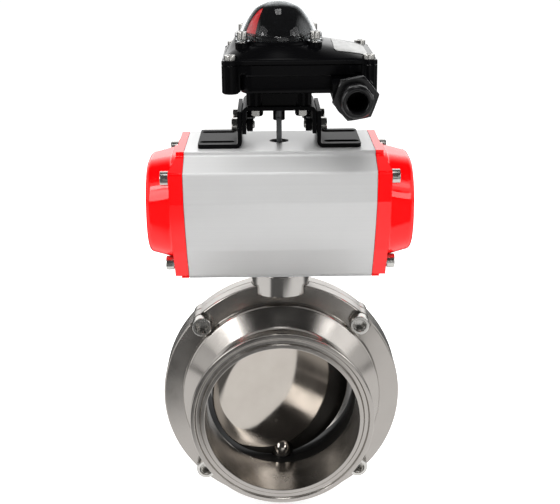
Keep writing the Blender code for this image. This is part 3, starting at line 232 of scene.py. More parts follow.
def picked(piece, wanted):
    """In edit mode, select the points that a test accepts."""
    bpy.ops.mesh.select_mode(type="VERT")
    bpy.ops.mesh.select_all(action="DESELECT")
    bpy.ops.object.mode_set(mode="OBJECT")
    for corner in piece.data.vertices:
        corner.select = wanted(corner)
    bpy.ops.object.mode_set(mode="EDIT")


def block(name, low, high):
    """A box between two corners."""
    bpy.ops.object.select_all(action="DESELECT")
    middle = (Vector(low) + Vector(high)) / 2 * MM
    bpy.ops.mesh.primitive_cube_add(size=1, location=middle, scale=(Vector(high) - Vector(low)) * MM)
    piece = bpy.context.active_object
    piece.name = name
    bpy.ops.object.transform_apply(location=True, rotation=True, scale=True)
    return piece


def laid(piece, along, at):
    """Turn a piece along an axis, move it to its place and put that place in its mesh."""
    only(piece)
    piece.matrix_world = Matrix.Translation(Vector(at) * MM) @ ALONG[along]
    bpy.ops.object.transform_apply(location=True, rotation=True, scale=True)
    return piece


def applied(piece, kind, **settings):
    """Add a modifier with its settings and apply it."""
    only(piece)
    step = piece.modifiers.new(kind.lower(), kind)
    for key, value in settings.items():
        setattr(step, key, value)
    bpy.ops.object.modifier_apply(modifier=step.name)
    return piece


def combined(piece, how, *tools):
    """Join or cut a piece with others, which are used up."""
    for tool in tools:
        applied(piece, "BOOLEAN", operation=how, solver="EXACT", object=tool)
        bpy.data.objects.remove(tool, do_unlink=True)
    return piece


def eased(piece, width, segments=2, angle=32):
    """Round the edges that are sharper than an angle."""
    return applied(piece, "BEVEL", width=width * MM, segments=segments, limit_method="ANGLE",
                   angle_limit=radians(angle), use_clamp_overlap=True)


def bunch(*pieces):
    """Several pieces as one mesh, to cut or join with in one step."""
    only(pieces[0])
    for piece in pieces[1:]:
        piece.select_set(True)
    bpy.ops.object.join()
    return pieces[0]


def swung(piece, angle):
    """Turn a piece about the stem by an angle in degrees."""
    only(piece)
    piece.matrix_world = Matrix.Rotation(radians(angle), 4, "Z")
    bpy.ops.object.transform_apply(location=True, rotation=True, scale=True)
    return piece


def dressed(piece, finish, body, slot, *nodes, angle=30):
    """Give a piece its finish, its body and the solids that it stands for."""
    only(piece)
    bpy.ops.object.mode_set(mode="EDIT")
    bpy.ops.mesh.select_all(action="SELECT")
    bpy.ops.mesh.remove_doubles(threshold=2e-6)
    bpy.ops.object.mode_set(mode="OBJECT")
    bpy.ops.object.shade_smooth_by_angle(angle=radians(angle))
    applied(piece, "WEIGHTED_NORMAL", keep_sharp=True)
    piece.data.materials.clear()
    piece.data.materials.append(finish)
    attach(piece, body)
    if nodes:
        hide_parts(*nodes)
    return piece


def repeated(pattern, name, finish, slot, node_name, places):
    """Copy a pattern piece to each (axis, place), dress the copies and remove the pattern."""
    for number, (along, at) in enumerate(places, 1):
        only(pattern)
        bpy.ops.object.duplicate()
        twin = bpy.context.active_object
        twin.name = f"{name}_{number}"
        dressed(laid(twin, along, at), finish, "frame", slot, f"{node_name}_{number}")
    bpy.data.objects.remove(pattern, do_unlink=True)


# Outlines

def rounded(corners, steps):
    """An outline of (u, v, radius) corners, each corner drawn as a short curve."""
    points = []
    for k, (u, v, radius) in enumerate(corners):
        here = Vector((u, v))
        before = Vector(corners[k - 1][:2]) - here
        after = Vector(corners[(k + 1) % len(corners)][:2]) - here
        reach = min(radius, before.length * 0.48, after.length * 0.48)
        if reach < 0.01:
            points.append((u, v))
            continue
        start = here + before.normalized() * reach
        end = here + after.normalized() * reach
        for s in range(steps + 1):
            t = s / steps
            point = start * (1 - t) ** 2 + here * 2 * t * (1 - t) + end * t ** 2
            points.append((point.x, point.y))
    return points


def round_box(x0, x1, y0, y1, radius, steps):
    """A rectangle with round corners, anticlockwise."""
    centres = [(x1 - radius, y1 - radius), (x0 + radius, y1 - radius),
               (x0 + radius, y0 + radius), (x1 - radius, y0 + radius)]
    return [(cx + radius * cos(pi / 2 * (q + s / steps)), cy + radius * sin(pi / 2 * (q + s / steps)))
            for q, (cx, cy) in enumerate(centres) for s in range(steps + 1)]


def round_ring(radius, steps=10):
    """A circle with as many points as round_box, in the same order."""
    count = 4 * (steps + 1)
    return [(radius * cos(2 * pi * (k + 0.5) / count), radius * sin(2 * pi * (k + 0.5) / count))
            for k in range(count)]


def level(outline, z):
    return [(u, v, z) for u, v in outline]


def hexagon(across_flats, turn=0.0):
    radius = across_flats / 2 / cos(pi / 6)
    return [(radius * cos(turn + k * pi / 3), radius * sin(turn + k * pi / 3)) for k in range(6)]


def flowing(points, steps):
    """A smooth path through (u, v) points."""
    path = [Vector(p) for p in points]
    ends = [path[0] * 2 - path[1]] + path + [path[-1] * 2 - path[-2]]
    curve = []
    for a, b, c, d in zip(ends, ends[1:], ends[2:], ends[3:]):
        for s in range(steps):
            t = s / steps
            point = (b * 2 + (c - a) * t + (a * 2 - b * 5 + c * 4 - d) * t ** 2
                     + (b * 3 - a - c * 3 + d) * t ** 3) / 2
            curve.append((point.x, point.y))
    return curve + [tuple(path[-1])]


# Finishes

def linear(code):
    """An sRGB hex colour as the linear colour that a shader takes."""
    parts = [int(code[k:k + 2], 16) / 255 for k in (1, 3, 5)]
    return [p / 12.92 if p <= 0.04045 else ((p + 0.055) / 1.055) ** 2.4 for p in parts] + [1.0]


def plugged(tree, target, inputs):
    """Set a node's inputs, or link them to (node, output) pairs."""
    for key, value in inputs.items():
        if isinstance(value, tuple) and isinstance(value[0], bpy.types.Node):
            tree.links.new(value[0].outputs[value[1]], target.inputs[key])
        else:
            target.inputs[key].default_value = value


def node(tree, kind, inputs=None, **settings):
    """Add a node, give it its settings, and set or link its inputs."""
    new = tree.nodes.new("ShaderNode" + kind)
    for key, value in settings.items():
        setattr(new, key, value)
    plugged(tree, new, inputs or {})
    return new


def new_finish(name):
    finish = bpy.data.materials.new(name)
    finish.use_nodes = True
    tree = finish.node_tree
    return finish, tree, tree.nodes["Principled BSDF"], node(tree, "TexCoord")


def stainless(name, tone, roughness, spread, axis, ring_mm=0.9, depth=0.25, turn=0.0):
    """Stainless steel, turned and polished: mirror-like, with faint rings that pull lights into fans."""
    finish, tree, shader, place = new_finish(name)
    spun = node(tree, "Mapping", {"Vector": (place, "Object"), "Rotation": (0, 0, -radians(turn))})
    cloud = node(tree, "TexNoise", {"Vector": (spun, "Vector"), "Scale": 1 / (14 * MM), "Detail": 4.0})
    haze = node(tree, "MapRange", {"Value": (cloud, "Fac"), "From Min": 0.3, "From Max": 0.7,
                                   "To Min": roughness * 0.75, "To Max": roughness * 1.25})
    # Tool marks of about 0.2 mm are drawn at ring_mm, so that they show
    rings = node(tree, "TexWave", {"Vector": (spun, "Vector"), "Scale": RING_SPAN / (ring_mm * MM),
                                   "Distortion": 0.6, "Detail": 2.0, "Detail Scale": 2.0},
                 wave_type="RINGS", rings_direction=axis)
    marks = node(tree, "Bump", {"Height": (rings, "Fac"), "Strength": depth, "Distance": 0.02 * MM})
    shade = node(tree, "MixRGB", {"Fac": (cloud, "Fac"), "Color1": linear(tone[0]),
                                  "Color2": linear(tone[1])})
    around = node(tree, "Tangent", direction_type="RADIAL", axis=axis)
    plugged(tree, shader, {"Base Color": (shade, "Color"), "Roughness": (haze, "Result"),
                           "Normal": (marks, "Normal"), "Tangent": (around, "Tangent"), "Metallic": 1.0,
                           "Anisotropic": spread, "Anisotropic Rotation": 0.25})
    return finish


def fastener_steel(name, tone, roughness):
    """Bare metal of the screws, the shaft and the plate: a little uneven in tone and shine."""
    finish, tree, shader, place = new_finish(name)
    cloud = node(tree, "TexNoise", {"Vector": (place, "Object"), "Scale": 1 / (2.5 * MM), "Detail": 6.0})
    shade = node(tree, "MixRGB", {"Fac": (cloud, "Fac"), "Color1": linear(tone[0]),
                                  "Color2": linear(tone[1])})
    haze = node(tree, "MapRange", {"Value": (cloud, "Fac"), "From Min": 0.25, "From Max": 0.75,
                                   "To Min": roughness * 0.7, "To Max": roughness * 1.3})
    plugged(tree, shader, {"Base Color": (shade, "Color"), "Roughness": (haze, "Result"), "Metallic": 1.0})
    return finish


def anodised_aluminium(name):
    """Extruded and clear-anodised aluminium: pale, silky, with faint die lines along its length."""
    finish, tree, shader, place = new_finish(name)
    # Die lines of about 0.3 mm are drawn at 1.1 mm across the length, so that they show
    drawn_out = node(tree, "Mapping", {"Vector": (place, "Object"), "Scale": (6.0, 900.0, 900.0)})
    lines = node(tree, "TexNoise", {"Vector": (drawn_out, "Vector"), "Scale": 1.0, "Detail": 3.0})
    cloud = node(tree, "TexNoise", {"Vector": (place, "Object"), "Scale": 1 / (25 * MM), "Detail": 3.0})
    grain = node(tree, "TexNoise", {"Vector": (place, "Object"), "Scale": 1 / (0.35 * MM), "Detail": 2.0})
    blend = node(tree, "MixRGB", {"Fac": 0.35, "Color1": (lines, "Fac"), "Color2": (cloud, "Fac")})
    shade = node(tree, "MixRGB", {"Fac": (blend, "Color"), "Color1": linear("#BCBCBC"),
                                  "Color2": linear("#C6C6C5")})
    haze = node(tree, "MapRange", {"Value": (cloud, "Fac"), "To Min": 0.28, "To Max": 0.36})
    height = node(tree, "MixRGB", {"Fac": 0.4, "Color1": (lines, "Fac"), "Color2": (grain, "Fac")})
    marks = node(tree, "Bump", {"Height": (height, "Color"), "Strength": 0.12, "Distance": 0.03 * MM})
    plugged(tree, shader, {"Base Color": (shade, "Color"), "Roughness": (haze, "Result"),
                           "Normal": (marks, "Normal"), "Metallic": 0.12, "Specular IOR Level": 0.8})
    return finish


def painted(name, tone, roughness, shine, peel_mm, peel):
    """Paint, or coloured plastic: an even colour with the slight ripple of a spray coat or a mould."""
    finish, tree, shader, place = new_finish(name)
    cloud = node(tree, "TexNoise", {"Vector": (place, "Object"), "Scale": 1 / (18 * MM), "Detail": 3.0})
    ripple = node(tree, "TexNoise", {"Vector": (place, "Object"), "Scale": 1 / (peel_mm * MM),
                                     "Detail": 2.0})
    shade = node(tree, "MixRGB", {"Fac": (cloud, "Fac"), "Color1": linear(tone[0]),
                                  "Color2": linear(tone[1])})
    haze = node(tree, "MapRange", {"Value": (ripple, "Fac"), "To Min": roughness * 0.85,
                                   "To Max": roughness * 1.15})
    skin = node(tree, "Bump", {"Height": (ripple, "Fac"), "Strength": peel, "Distance": 0.05 * MM})
    plugged(tree, shader, {"Base Color": (shade, "Color"), "Roughness": (haze, "Result"),
                           "Normal": (skin, "Normal"), "IOR": 1.5, "Specular IOR Level": shine})
    return finish


def clear_plastic(name):
    """Moulded polycarbonate, clear as water, with a hair of ripple from the mould."""
    finish, tree, shader, place = new_finish(name)
    ripple = node(tree, "TexNoise", {"Vector": (place, "Object"), "Scale": 1 / (9 * MM), "Detail": 1.0})
    skin = node(tree, "Bump", {"Height": (ripple, "Fac"), "Strength": 0.02, "Distance": 0.1 * MM})
    plugged(tree, shader, {"Normal": (skin, "Normal"), "Base Color": linear("#F6F9FA"), "Roughness": 0.0,
                           "Transmission Weight": 1.0, "IOR": 1.45})
    # Lamps shine straight through the thin wall
    path = node(tree, "LightPath")
    open_way = node(tree, "BsdfTransparent")
    wall = node(tree, "MixShader", {0: (path, "Is Shadow Ray"), 1: (shader, "BSDF"), 2: (open_way, "BSDF")})
    plugged(tree, tree.nodes["Material Output"], {"Surface": (wall, "Shader")})
    return finish


def indicator_plastic(name):
    """Moulded ABS rotor: red on the two quarters that show closed, yellow on the two that show open."""
    finish, tree, shader, place = new_finish(name)
    turned = node(tree, "Mapping", {"Vector": (place, "Object"), "Rotation": (0, 0, -radians(PART_OPEN))})
    axes = node(tree, "SeparateXYZ", {"Vector": (turned, "Vector")})
    across = node(tree, "Math", {0: (axes, "X")}, operation="ABSOLUTE")
    away = node(tree, "Math", {0: (axes, "Y")}, operation="ABSOLUTE")
    quarter = node(tree, "Math", {0: (away, "Value"), 1: (across, "Value")}, operation="GREATER_THAN")
    grain = node(tree, "TexNoise", {"Vector": (place, "Object"), "Scale": 1 / (0.6 * MM), "Detail": 2.0})
    shade = node(tree, "MixRGB", {"Fac": (quarter, "Value"), "Color1": linear("#E4141C"),
                                  "Color2": linear("#F2B90F")})
    skin = node(tree, "Bump", {"Height": (grain, "Fac"), "Strength": 0.1, "Distance": 0.03 * MM})
    plugged(tree, shader, {"Base Color": (shade, "Color"), "Normal": (skin, "Normal"), "Roughness": 0.35})
    return finish


# Steel that mirrors its surroundings: brushed round on the body, clearer on the disc and the sleeve
BODY_STEEL = stainless("turned_stainless", ("#A6A19C", "#B8B4AF"), 0.22, 0.6, "Y")
DISC_STEEL = stainless("polished_disc_stainless", ("#B4ADA5", "#C4BEB6"), 0.09, 0.0, "Y", 2.0, 0.02,
                       PART_OPEN)
SLEEVE_STEEL = stainless("turned_sleeve_stainless", ("#B2AEAA", "#C2BFBB"), 0.13, 0.3, "Z")
# Small bright heads that glint, and the dark shaft between the legs of the bracket
SCREW_STEEL = fastener_steel("bright_screw_steel", ("#BDBBB6", "#DEDCD8"), 0.24)
DARK_STEEL = fastener_steel("blued_shaft_steel", ("#56585A", "#7A7C7D"), 0.38)
PLATE_METAL = fastener_steel("blank_aluminium_plate", ("#C9C9C8", "#DDDDDB"), 0.42)
# The pale, silky middle between two glossy red caps
ALUMINIUM = anodised_aluminium("clear_anodised_aluminium")
RED_PAINT = painted("red_enamel", ("#F80004", "#FF0206"), 0.08, 0.48, 1.6, 0.015)
# Blacks that part by their shine: dull bracket, smooth box, bright shroud, satin gland, matt seat
BLACK_COAT = painted("black_powder_coat", ("#060607", "#0B0B0C"), 0.38, 0.05, 0.6, 0.12)
BLACK_CAST = painted("black_painted_casting", ("#040405", "#070708"), 0.20, 0.07, 1.2, 0.03)
GLOSS_BLACK = painted("gloss_black_abs", ("#040405", "#060607"), 0.10, 0.5, 6.0, 0.01)
GLAND_NYLON = painted("black_gland_nylon", ("#060607", "#0B0B0C"), 0.24, 0.45, 0.9, 0.04)
SEAT_RUBBER = painted("black_seat_rubber", ("#0A0A0A", "#121212"), 0.5, 0.3, 0.8, 0.12)
# Cream bushes and cams inside, and the dome with its two-coloured rotor
BUSH_PLASTIC = painted("white_bush_acetal", ("#D8D6CE", "#E6E4DD"), 0.45, 0.5, 0.8, 0.05)
CLEAR = clear_plastic("clear_polycarbonate")
ROTOR_PLASTIC = indicator_plastic("two_colour_abs")


# Valve

def body_profile():
    """Section of a body half: radius, and distance from the plane where the halves meet."""
    neck = [(TUBE_R, 27.4), (53.2, 26.0), (53.8, 25.0), (54.8, 24.1)]
    return [
        (BORE_R, HALF_FACE), (52.6, HALF_FACE), (53.4, 50.6), (55.8, 50.6), (56.6, HALF_FACE),
        (59.0, HALF_FACE), (FERRULE_R, 51.5), (FERRULE_R, 49.2), (TUBE_R, 45.8), *neck,
        (64.6, 16.9), (65.5, 16.4), (66.1, 15.5), (SHOULDER_R, 14.4), (SHOULDER_R, FLANGE_T),
        (78.6, FLANGE_T), (FLANGE_R, 10.5), (FLANGE_R, 0.15), (57.3, 0.15), (57.3, 13.3), (BORE_R, 13.3),
    ]


def body_half(name, along, with_heads):
    half = pulled(name, body_profile(), 144, along, hollow=True)
    eased(half, 0.35, 2, 25)
    places = [(x, 0, z) for x, z in BODY_SCREWS]
    ears = bunch(*[pulled("ear", [(EAR_R - 0.5, 0.4), (EAR_R, 0.9), (EAR_R, 10.4), (EAR_R - 0.5, 10.9)],
                          40, along, at) for at in places])
    combined(half, "UNION", ears)
    if with_heads:
        spots = bunch(*[rod("spot", SPOT_R, 10.3, 24, 48, along, at) for at in places])
        combined(half, "DIFFERENCE", spots)
    holes = bunch(*[rod("hole", 4.3, -2, 24 if with_heads else 7.8, 32, along, at)
                    for at in places])
    channel = rod("channel", 10.6, 53.5, SLEEVE_LOW, 48)
    lower = rod("lower_channel", 10.6, -67.4, -53.5, 48)
    notch = rod("notch", SLEEVE_R + GAP, SLEEVE_LOW - GAP, 160, 96)
    combined(half, "DIFFERENCE", holes, channel, lower, notch)
    return half


def socket_screw(name, shank_r, shank_l, head_r, head_h, socket, steps=48):
    """A socket head screw with a knurled rim; its head rises from local Z = 0."""
    chamfer = head_r * 0.12
    screw = pulled(name, [(shank_r * 0.8, -shank_l), (shank_r, -shank_l + shank_r * 0.3), (shank_r, 0.05),
                          (head_r - 0.15, 0.05), (head_r, 0.25), (head_r, head_h - chamfer),
                          (head_r - chamfer * 0.35, head_h - chamfer * 0.3), (head_r - chamfer, head_h)],
                   steps)
    for corner in screw.data.vertices:
        on_rim = hypot(corner.co.x, corner.co.y) > (head_r - 0.02) * MM
        turn = round(atan2(corner.co.y, corner.co.x) / (2 * pi / steps))
        if on_rim and turn % 2:
            corner.co.x *= 0.972
            corner.co.y *= 0.972
    mouth = pulled("mouth", [(socket * 0.55, head_h * 0.86), (socket * 0.72, head_h * 1.1)], 36)
    key = drawn("key", hexagon(socket), head_h * 0.25, head_h * 1.2)
    return combined(screw, "DIFFERENCE", key, mouth)


def build_valve():
    front = body_half("turned_front_body", "-Y", True)
    dressed(front, BODY_STEEL, "frame", "polished_stainless", "front_body", angle=22)
    rear = body_half("turned_rear_body", "Y", False)
    dressed(rear, BODY_STEEL, "frame", "polished_stainless", "rear_body", angle=22)

    screw = socket_screw("socket_screw_body", 4.0, 18.0, 6.5, 8.0, 6.8, 72)
    repeated(screw, "knurled_body_screw", SCREW_STEEL, "screw_steel", "body_screw",
             [("-Y", (x, -10.6, z)) for x, z in BODY_SCREWS])

    seat = pulled("moulded_seat", [(57.0, 13.0), (57.0, -13.0), (50.0, -13.0), (49.2, -4.0), (49.2, 4.0),
                                   (50.0, 13.0)], 144, "-Y", hollow=True)
    eased(seat, 0.3, 2, 4)
    combined(seat, "DIFFERENCE", rod("stem_hole", 7.3, -90, 90, 48))
    dressed(seat, SEAT_RUBBER, "frame", "black_rubber", "seat_ring")

    face = [(6, 5.48), (14, 5.38), (26, 5.0), (38.7, 4.68), (43.5, 3.9), (46.6, 2.7), (48.1, 1.95),
            (DISC_R, 1.3)]
    face = flowing(face, 3)
    disc = pulled("polished_disc", face + [(r, -h) for r, h in reversed(face)], 144, "-Y")
    hub = [(3.0, 37.0), (4.2, 37.6), (5.7, 39.0), (6.9, 40.8), (7.7, 42.9), (8.0, 45.0), (8.0, 47.5)]
    lower_hub = [(r, -z) for r, z in reversed(hub)]
    stem = [(7.0, -66.8), (7.0, -47.5)] + lower_hub + hub + [(7.0, 47.5), (7.0, 89.8)]
    combined(disc, "UNION", pulled("stem", stem, 64),
             eased(block("square", (-4.95, -4.95, 82.8), (4.95, 4.95, 102.3)), 0.4))
    dressed(swung(disc, PART_OPEN), DISC_STEEL, "drive", "polished_stainless", "disc_and_stem")

    sleeve = pulled("turned_sleeve", [(17.5, 89.2), (17.5, 86.2), (SLEEVE_R, 86.2), (SLEEVE_R, SLEEVE_LOW),
                                      (7.3, SLEEVE_LOW), (7.3, 89.2)], 96, hollow=True)
    eased(sleeve, 0.4, 2, 30)
    dressed(sleeve, SLEEVE_STEEL, "frame", "polished_stainless", "mounting_sleeve")


# Actuator

def body_outline(step_r=1.4, ridge_r=1.8):
    """Section across the actuator as (y, z), with its drawn corners rounded."""
    side = [(32.0, BODY_TOP, 0.8), (32.0, 170.9, step_r), (33.3, 169.75, step_r), (36.2, 168.65, step_r),
            (50.0, 163.3, ridge_r), (48.5, 143.9, 0.8), (41.95, 126.4, 14.0), (33.0, 108.9, 1.0),
            (20.0, 88.5, 0.8), (18.5, 87.9, 0.0), (18.5, BODY_LOW, 0.4)]
    return rounded(side + [(-y, z, r) for y, z, r in reversed(side)], 8)


def build_actuator_body():
    body = drawn("extruded_body", body_outline(), -BODY_HALF_L, BODY_HALF_L, "X")
    pad = drawn("pad", round_box(-26, 26, -14.5, 14.5, 2.5, 6), 30, 51.5, "Y", (0, 0, PORT_Z))
    combined(body, "UNION", pad)
    ports = bunch(*[pulled("port", [(5.2, 42.5), (5.2, 50.9), (6.0, 51.7)], 40, "Y", (x, 0, PORT_Z))
                    for x in (-12, 12)])
    bore = rod("bore", CYLINDER_R, -90, 90, 96, "X", (0, 0, BORE_Z))
    upper = rod("upper", 10.8, BORE_Z, 170.3, 48)
    tongue = rod("tongue", 6.1, BORE_Z, 190, 48)
    lower = pulled("lower", [(17.8, 60), (17.8, 89.5), (14.3, 89.5), (14.3, BORE_Z)], 64)
    screws = bunch(*[rod("screw_hole", HOLE_M5, -10, 18, 20, "X", (side * BODY_HALF_L, y, z))
                     for side in (-1, 1) for y, z in CAP_SCREWS])
    combined(body, "DIFFERENCE", ports, bore, upper, tongue, lower, screws)
    dressed(body, ALUMINIUM, "frame", "anodised_aluminium", "actuator_body", angle=12)


def build_cap(name, node_name, along, side):
    """A cast cap: the body's outline as a flange, and a hollow barrel with draft and soft edges."""
    cap = drawn(name, body_outline(1.2, 1.4), CAP_X, CAP_X + CAP_FLANGE, along)
    lip = side * 64.1
    far = side * 100.0
    wedge = [(lip, 200.0), (lip, 170.3), (side * 68.2, 163.3), (far, 163.3), (far, 200.0)]
    combined(cap, "DIFFERENCE", drawn("chamfer", wedge, -100, 100, "-Y"),
             block("under_lip", (min(lip, far), -100, 60), (max(lip, far), 100, 88.2)))
    eased(cap, 0.7, 3, 28)
    levels = [(4.0, -1.0), (8.6, -1.0), (9.1, -0.45), (9.9, -0.1), (11.0, 0.05), (20.7, 2.2)]
    levels += [(20.7 + 4.0 * sin(radians(t)), 2.2 + 4.0 * (1 - cos(radians(t))))
               for t in (18, 36, 54, 72, 84, 90)]
    rings = []
    for x, inset in levels:
        corner = 26.0 - max(inset - 2.2, 0) / 2
        half_y = 37.5 - inset
        half_z = 32.8 - inset
        rings.append(level(round_box(-half_y, half_y, -half_z, half_z, corner, 12), x))
    combined(cap, "UNION", lofted("barrel", rings, along, (side * CAP_X, 0, BORE_Z)))
    hollow = rod("hollow", 22.4, -10, CAP_DEPTH - 4.2, 64, along, (side * CAP_X, 0, BORE_Z))
    heads = bunch(*[pulled("head_room", [(HOLE_M5, -10), (HOLE_M5, 8.7), (4.9, 8.75), (4.9, 30)], 32, along,
                           (side * CAP_X, y, z)) for y, z in CAP_SCREWS])
    combined(cap, "DIFFERENCE", hollow, heads)
    dressed(cap, RED_PAINT, "frame", "red_paint", node_name, angle=28)


def build_actuator():
    build_actuator_body()
    build_cap("cast_left_cap", "left_end_cap", "-X", -1)
    build_cap("cast_right_cap", "right_end_cap", "X", 1)
    screw = socket_screw("socket_screw_cap", 2.5, 18.6, 4.5, 5.0, 4.0)
    repeated(screw, "knurled_cap_screw", SCREW_STEEL, "screw_steel", "cap_screw",
             [(along, (side * CAP_SCREW_X, y, z))
              for along, side in (("-X", -1), ("X", 1)) for y, z in CAP_SCREWS])


# Bracket

def arc(cx, cz, radius, first, steps=6):
    """A quarter turn of points about (cx, cz), anticlockwise from an angle."""
    return [(cx + radius * cos(first + pi / 2 * k / steps), cz + radius * sin(first + pi / 2 * k / steps))
            for k in range(steps + 1)]


def build_foot(name, node_name, side):
    cx = FOOT_IN + BEND_R + SHEET
    cz = FOOT_Z + BEND_R + SHEET
    outline = [(FOOT_OUT, FOOT_Z), (FOOT_OUT, FOOT_Z + SHEET)]
    outline += list(reversed(arc(cx, cz, BEND_R, pi)))
    outline += [(FOOT_IN + SHEET, 196.1), (FOOT_IN, 196.1)] + arc(cx, cz, BEND_R + SHEET, pi)
    foot = drawn(name, [(side * x, z) for x, z in outline], -24, 24, "-Y")
    plan = rounded([(side * 10, -24, 0), (side * FOOT_OUT, -24, 3.0), (side * FOOT_OUT, 24, 3.0),
                    (side * 10, 24, 0)], 6)
    combined(foot, "INTERSECT", drawn("plan", plan, 150, 220))
    slot_x = side * (FOOT_OUT + cx) / 2
    slots = bunch(*[drawn("slot", round_box(slot_x - 11, slot_x + 11, y - 3, y + 3, 2.94, 8), 170, 180)
                    for y in (-15.5, 15.5)])
    holes = bunch(*[rod("hole", HOLE_M5, 0, 60, 24, "X" if side > 0 else "-X", (0, y, LEG_BOLT_Z))
                    for y in (-LEG_BOLT_Y, LEG_BOLT_Y)])
    combined(foot, "DIFFERENCE", slots, holes)
    eased(foot, 0.3, 2, 40)
    dressed(foot, BLACK_COAT, "frame", "black_paint", node_name)


def build_bridge():
    inner = 20.6
    outer = 23.1
    cx = inner - BEND_R
    cz = BRIDGE_TOP - SHEET - BEND_R
    half = [(outer, 181.9)] + arc(cx, cz, BEND_R + SHEET, 0)
    lower = list(reversed(arc(cx, cz, BEND_R, 0))) + [(inner, 181.9)]
    outline = half + [(-x, z) for x, z in reversed(half)] + [(-x, z) for x, z in reversed(lower)] + lower
    bridge = drawn("bent_bridge", outline, -23.5, 23.5, "-Y")
    holes = bunch(rod("shaft_hole", 6.2, 190, 205, 40),
                  *[rod("bolt_hole", HOLE_M5, 190, 205, 24, "Z", (x, BOX_BOLT_Y, 0))
                    for x in (-BOX_BOLT_X, BOX_BOLT_X)],
                  *[rod("leg_hole", HOLE_M5, -60, 60, 24, "X", (0, y, LEG_BOLT_Z))
                    for y in (-LEG_BOLT_Y, LEG_BOLT_Y)])
    combined(bridge, "DIFFERENCE", holes)
    eased(bridge, 0.3, 2, 40)
    dressed(bridge, BLACK_COAT, "frame", "black_paint", "bracket_bridge")


def hex_bolt(name, head_r, head_h, shank_l):
    """A hexagon bolt, its head below local Z = 0 with the corners chamfered off."""
    bolt = drawn(name, hexagon(2 * head_r * cos(pi / 6)), -head_h, 0)
    dish = pulled("dish", [(head_r * 0.86, -head_h), (head_r * 1.02, -head_h * 0.72), (head_r * 1.02, 0.1)],
                  48)
    combined(bolt, "INTERSECT", dish)
    shank = pulled("shank", [(2.5, -head_h / 2), (2.5, shank_l - 0.6), (2.0, shank_l)], 32)
    return combined(bolt, "UNION", shank)


def build_bracket():
    build_foot("bent_left_foot", "left_foot", -1)
    build_foot("bent_right_foot", "right_foot", 1)
    build_bridge()
    bolt = eased(hex_bolt("hex_bolt_leg", 4.6, 3.6, 10.9), 0.15, 1, 40)
    nut = drawn("hex_nut", hexagon(9.2 * cos(pi / 6)), 0, 3.8)
    crown = pulled("crown", [(4.1, 0), (4.7, 0.7), (4.7, 3.1), (4.1, 3.8)], 48)
    combined(nut, "INTERSECT", crown)
    combined(nut, "DIFFERENCE", rod("thread", HOLE_M5, -1, 5, 24))
    legs = [(inward, side, y) for inward, side in (("X", -1), ("-X", 1)) for y in (-LEG_BOLT_Y, LEG_BOLT_Y)]
    repeated(bolt, "leg_hex_bolt", SCREW_STEEL, "screw_steel", "leg_bolt",
             [(inward, (side * 26.2, y, LEG_BOLT_Z)) for inward, side, y in legs])
    repeated(nut, "leg_hex_nut", BLACK_COAT, "black_paint", "leg_nut",
             [(inward, (side * 20.3, y, LEG_BOLT_Z)) for inward, side, y in legs])
    bolt = eased(hex_bolt("hex_bolt_box", 4.8, 4.2, 10.1), 0.15, 1, 40)
    repeated(bolt, "box_hex_bolt", SCREW_STEEL, "screw_steel", "box_bolt",
             [("Z", (x, BOX_BOLT_Y, 196.1)) for x in (-BOX_BOLT_X, BOX_BOLT_X)])


# Switch box

def box_outline(inset, steps=10):
    depth = BOX_HALF_DEPTH - inset
    corner = max(BOX_CORNER - inset, 2.6)
    return round_box(inset - BOX_LEFT, BOX_RIGHT - inset, -depth, depth, corner, steps)


def rim_outline(inset, steps, depth=BOX_HALF_DEPTH):
    """The rim at the parting line, which takes in the screw lugs at both ends of the box."""
    corner = RIM_CORNER - inset
    return round_box(inset - RIM_LEFT, RIM_RIGHT - inset, inset - depth, depth - inset, corner, steps)


def boss_outline():
    """Round entry boss with a web that slants up to the box's underside, as (x, z)."""
    radius = 12.8
    reach = radius + 0.4
    drop = BOX_Z - GLAND_Z
    start = pi + acos(radius / hypot(reach, drop)) - acos(reach / hypot(reach, drop))
    turn = (2.25 * pi - start) / 30
    round_part = [(GLAND_X + radius * cos(start + turn * k), GLAND_Z + radius * sin(start + turn * k))
                  for k in range(31)]
    return round_part + [(GLAND_X - reach, 217.8), (GLAND_X - reach, BOX_Z)]


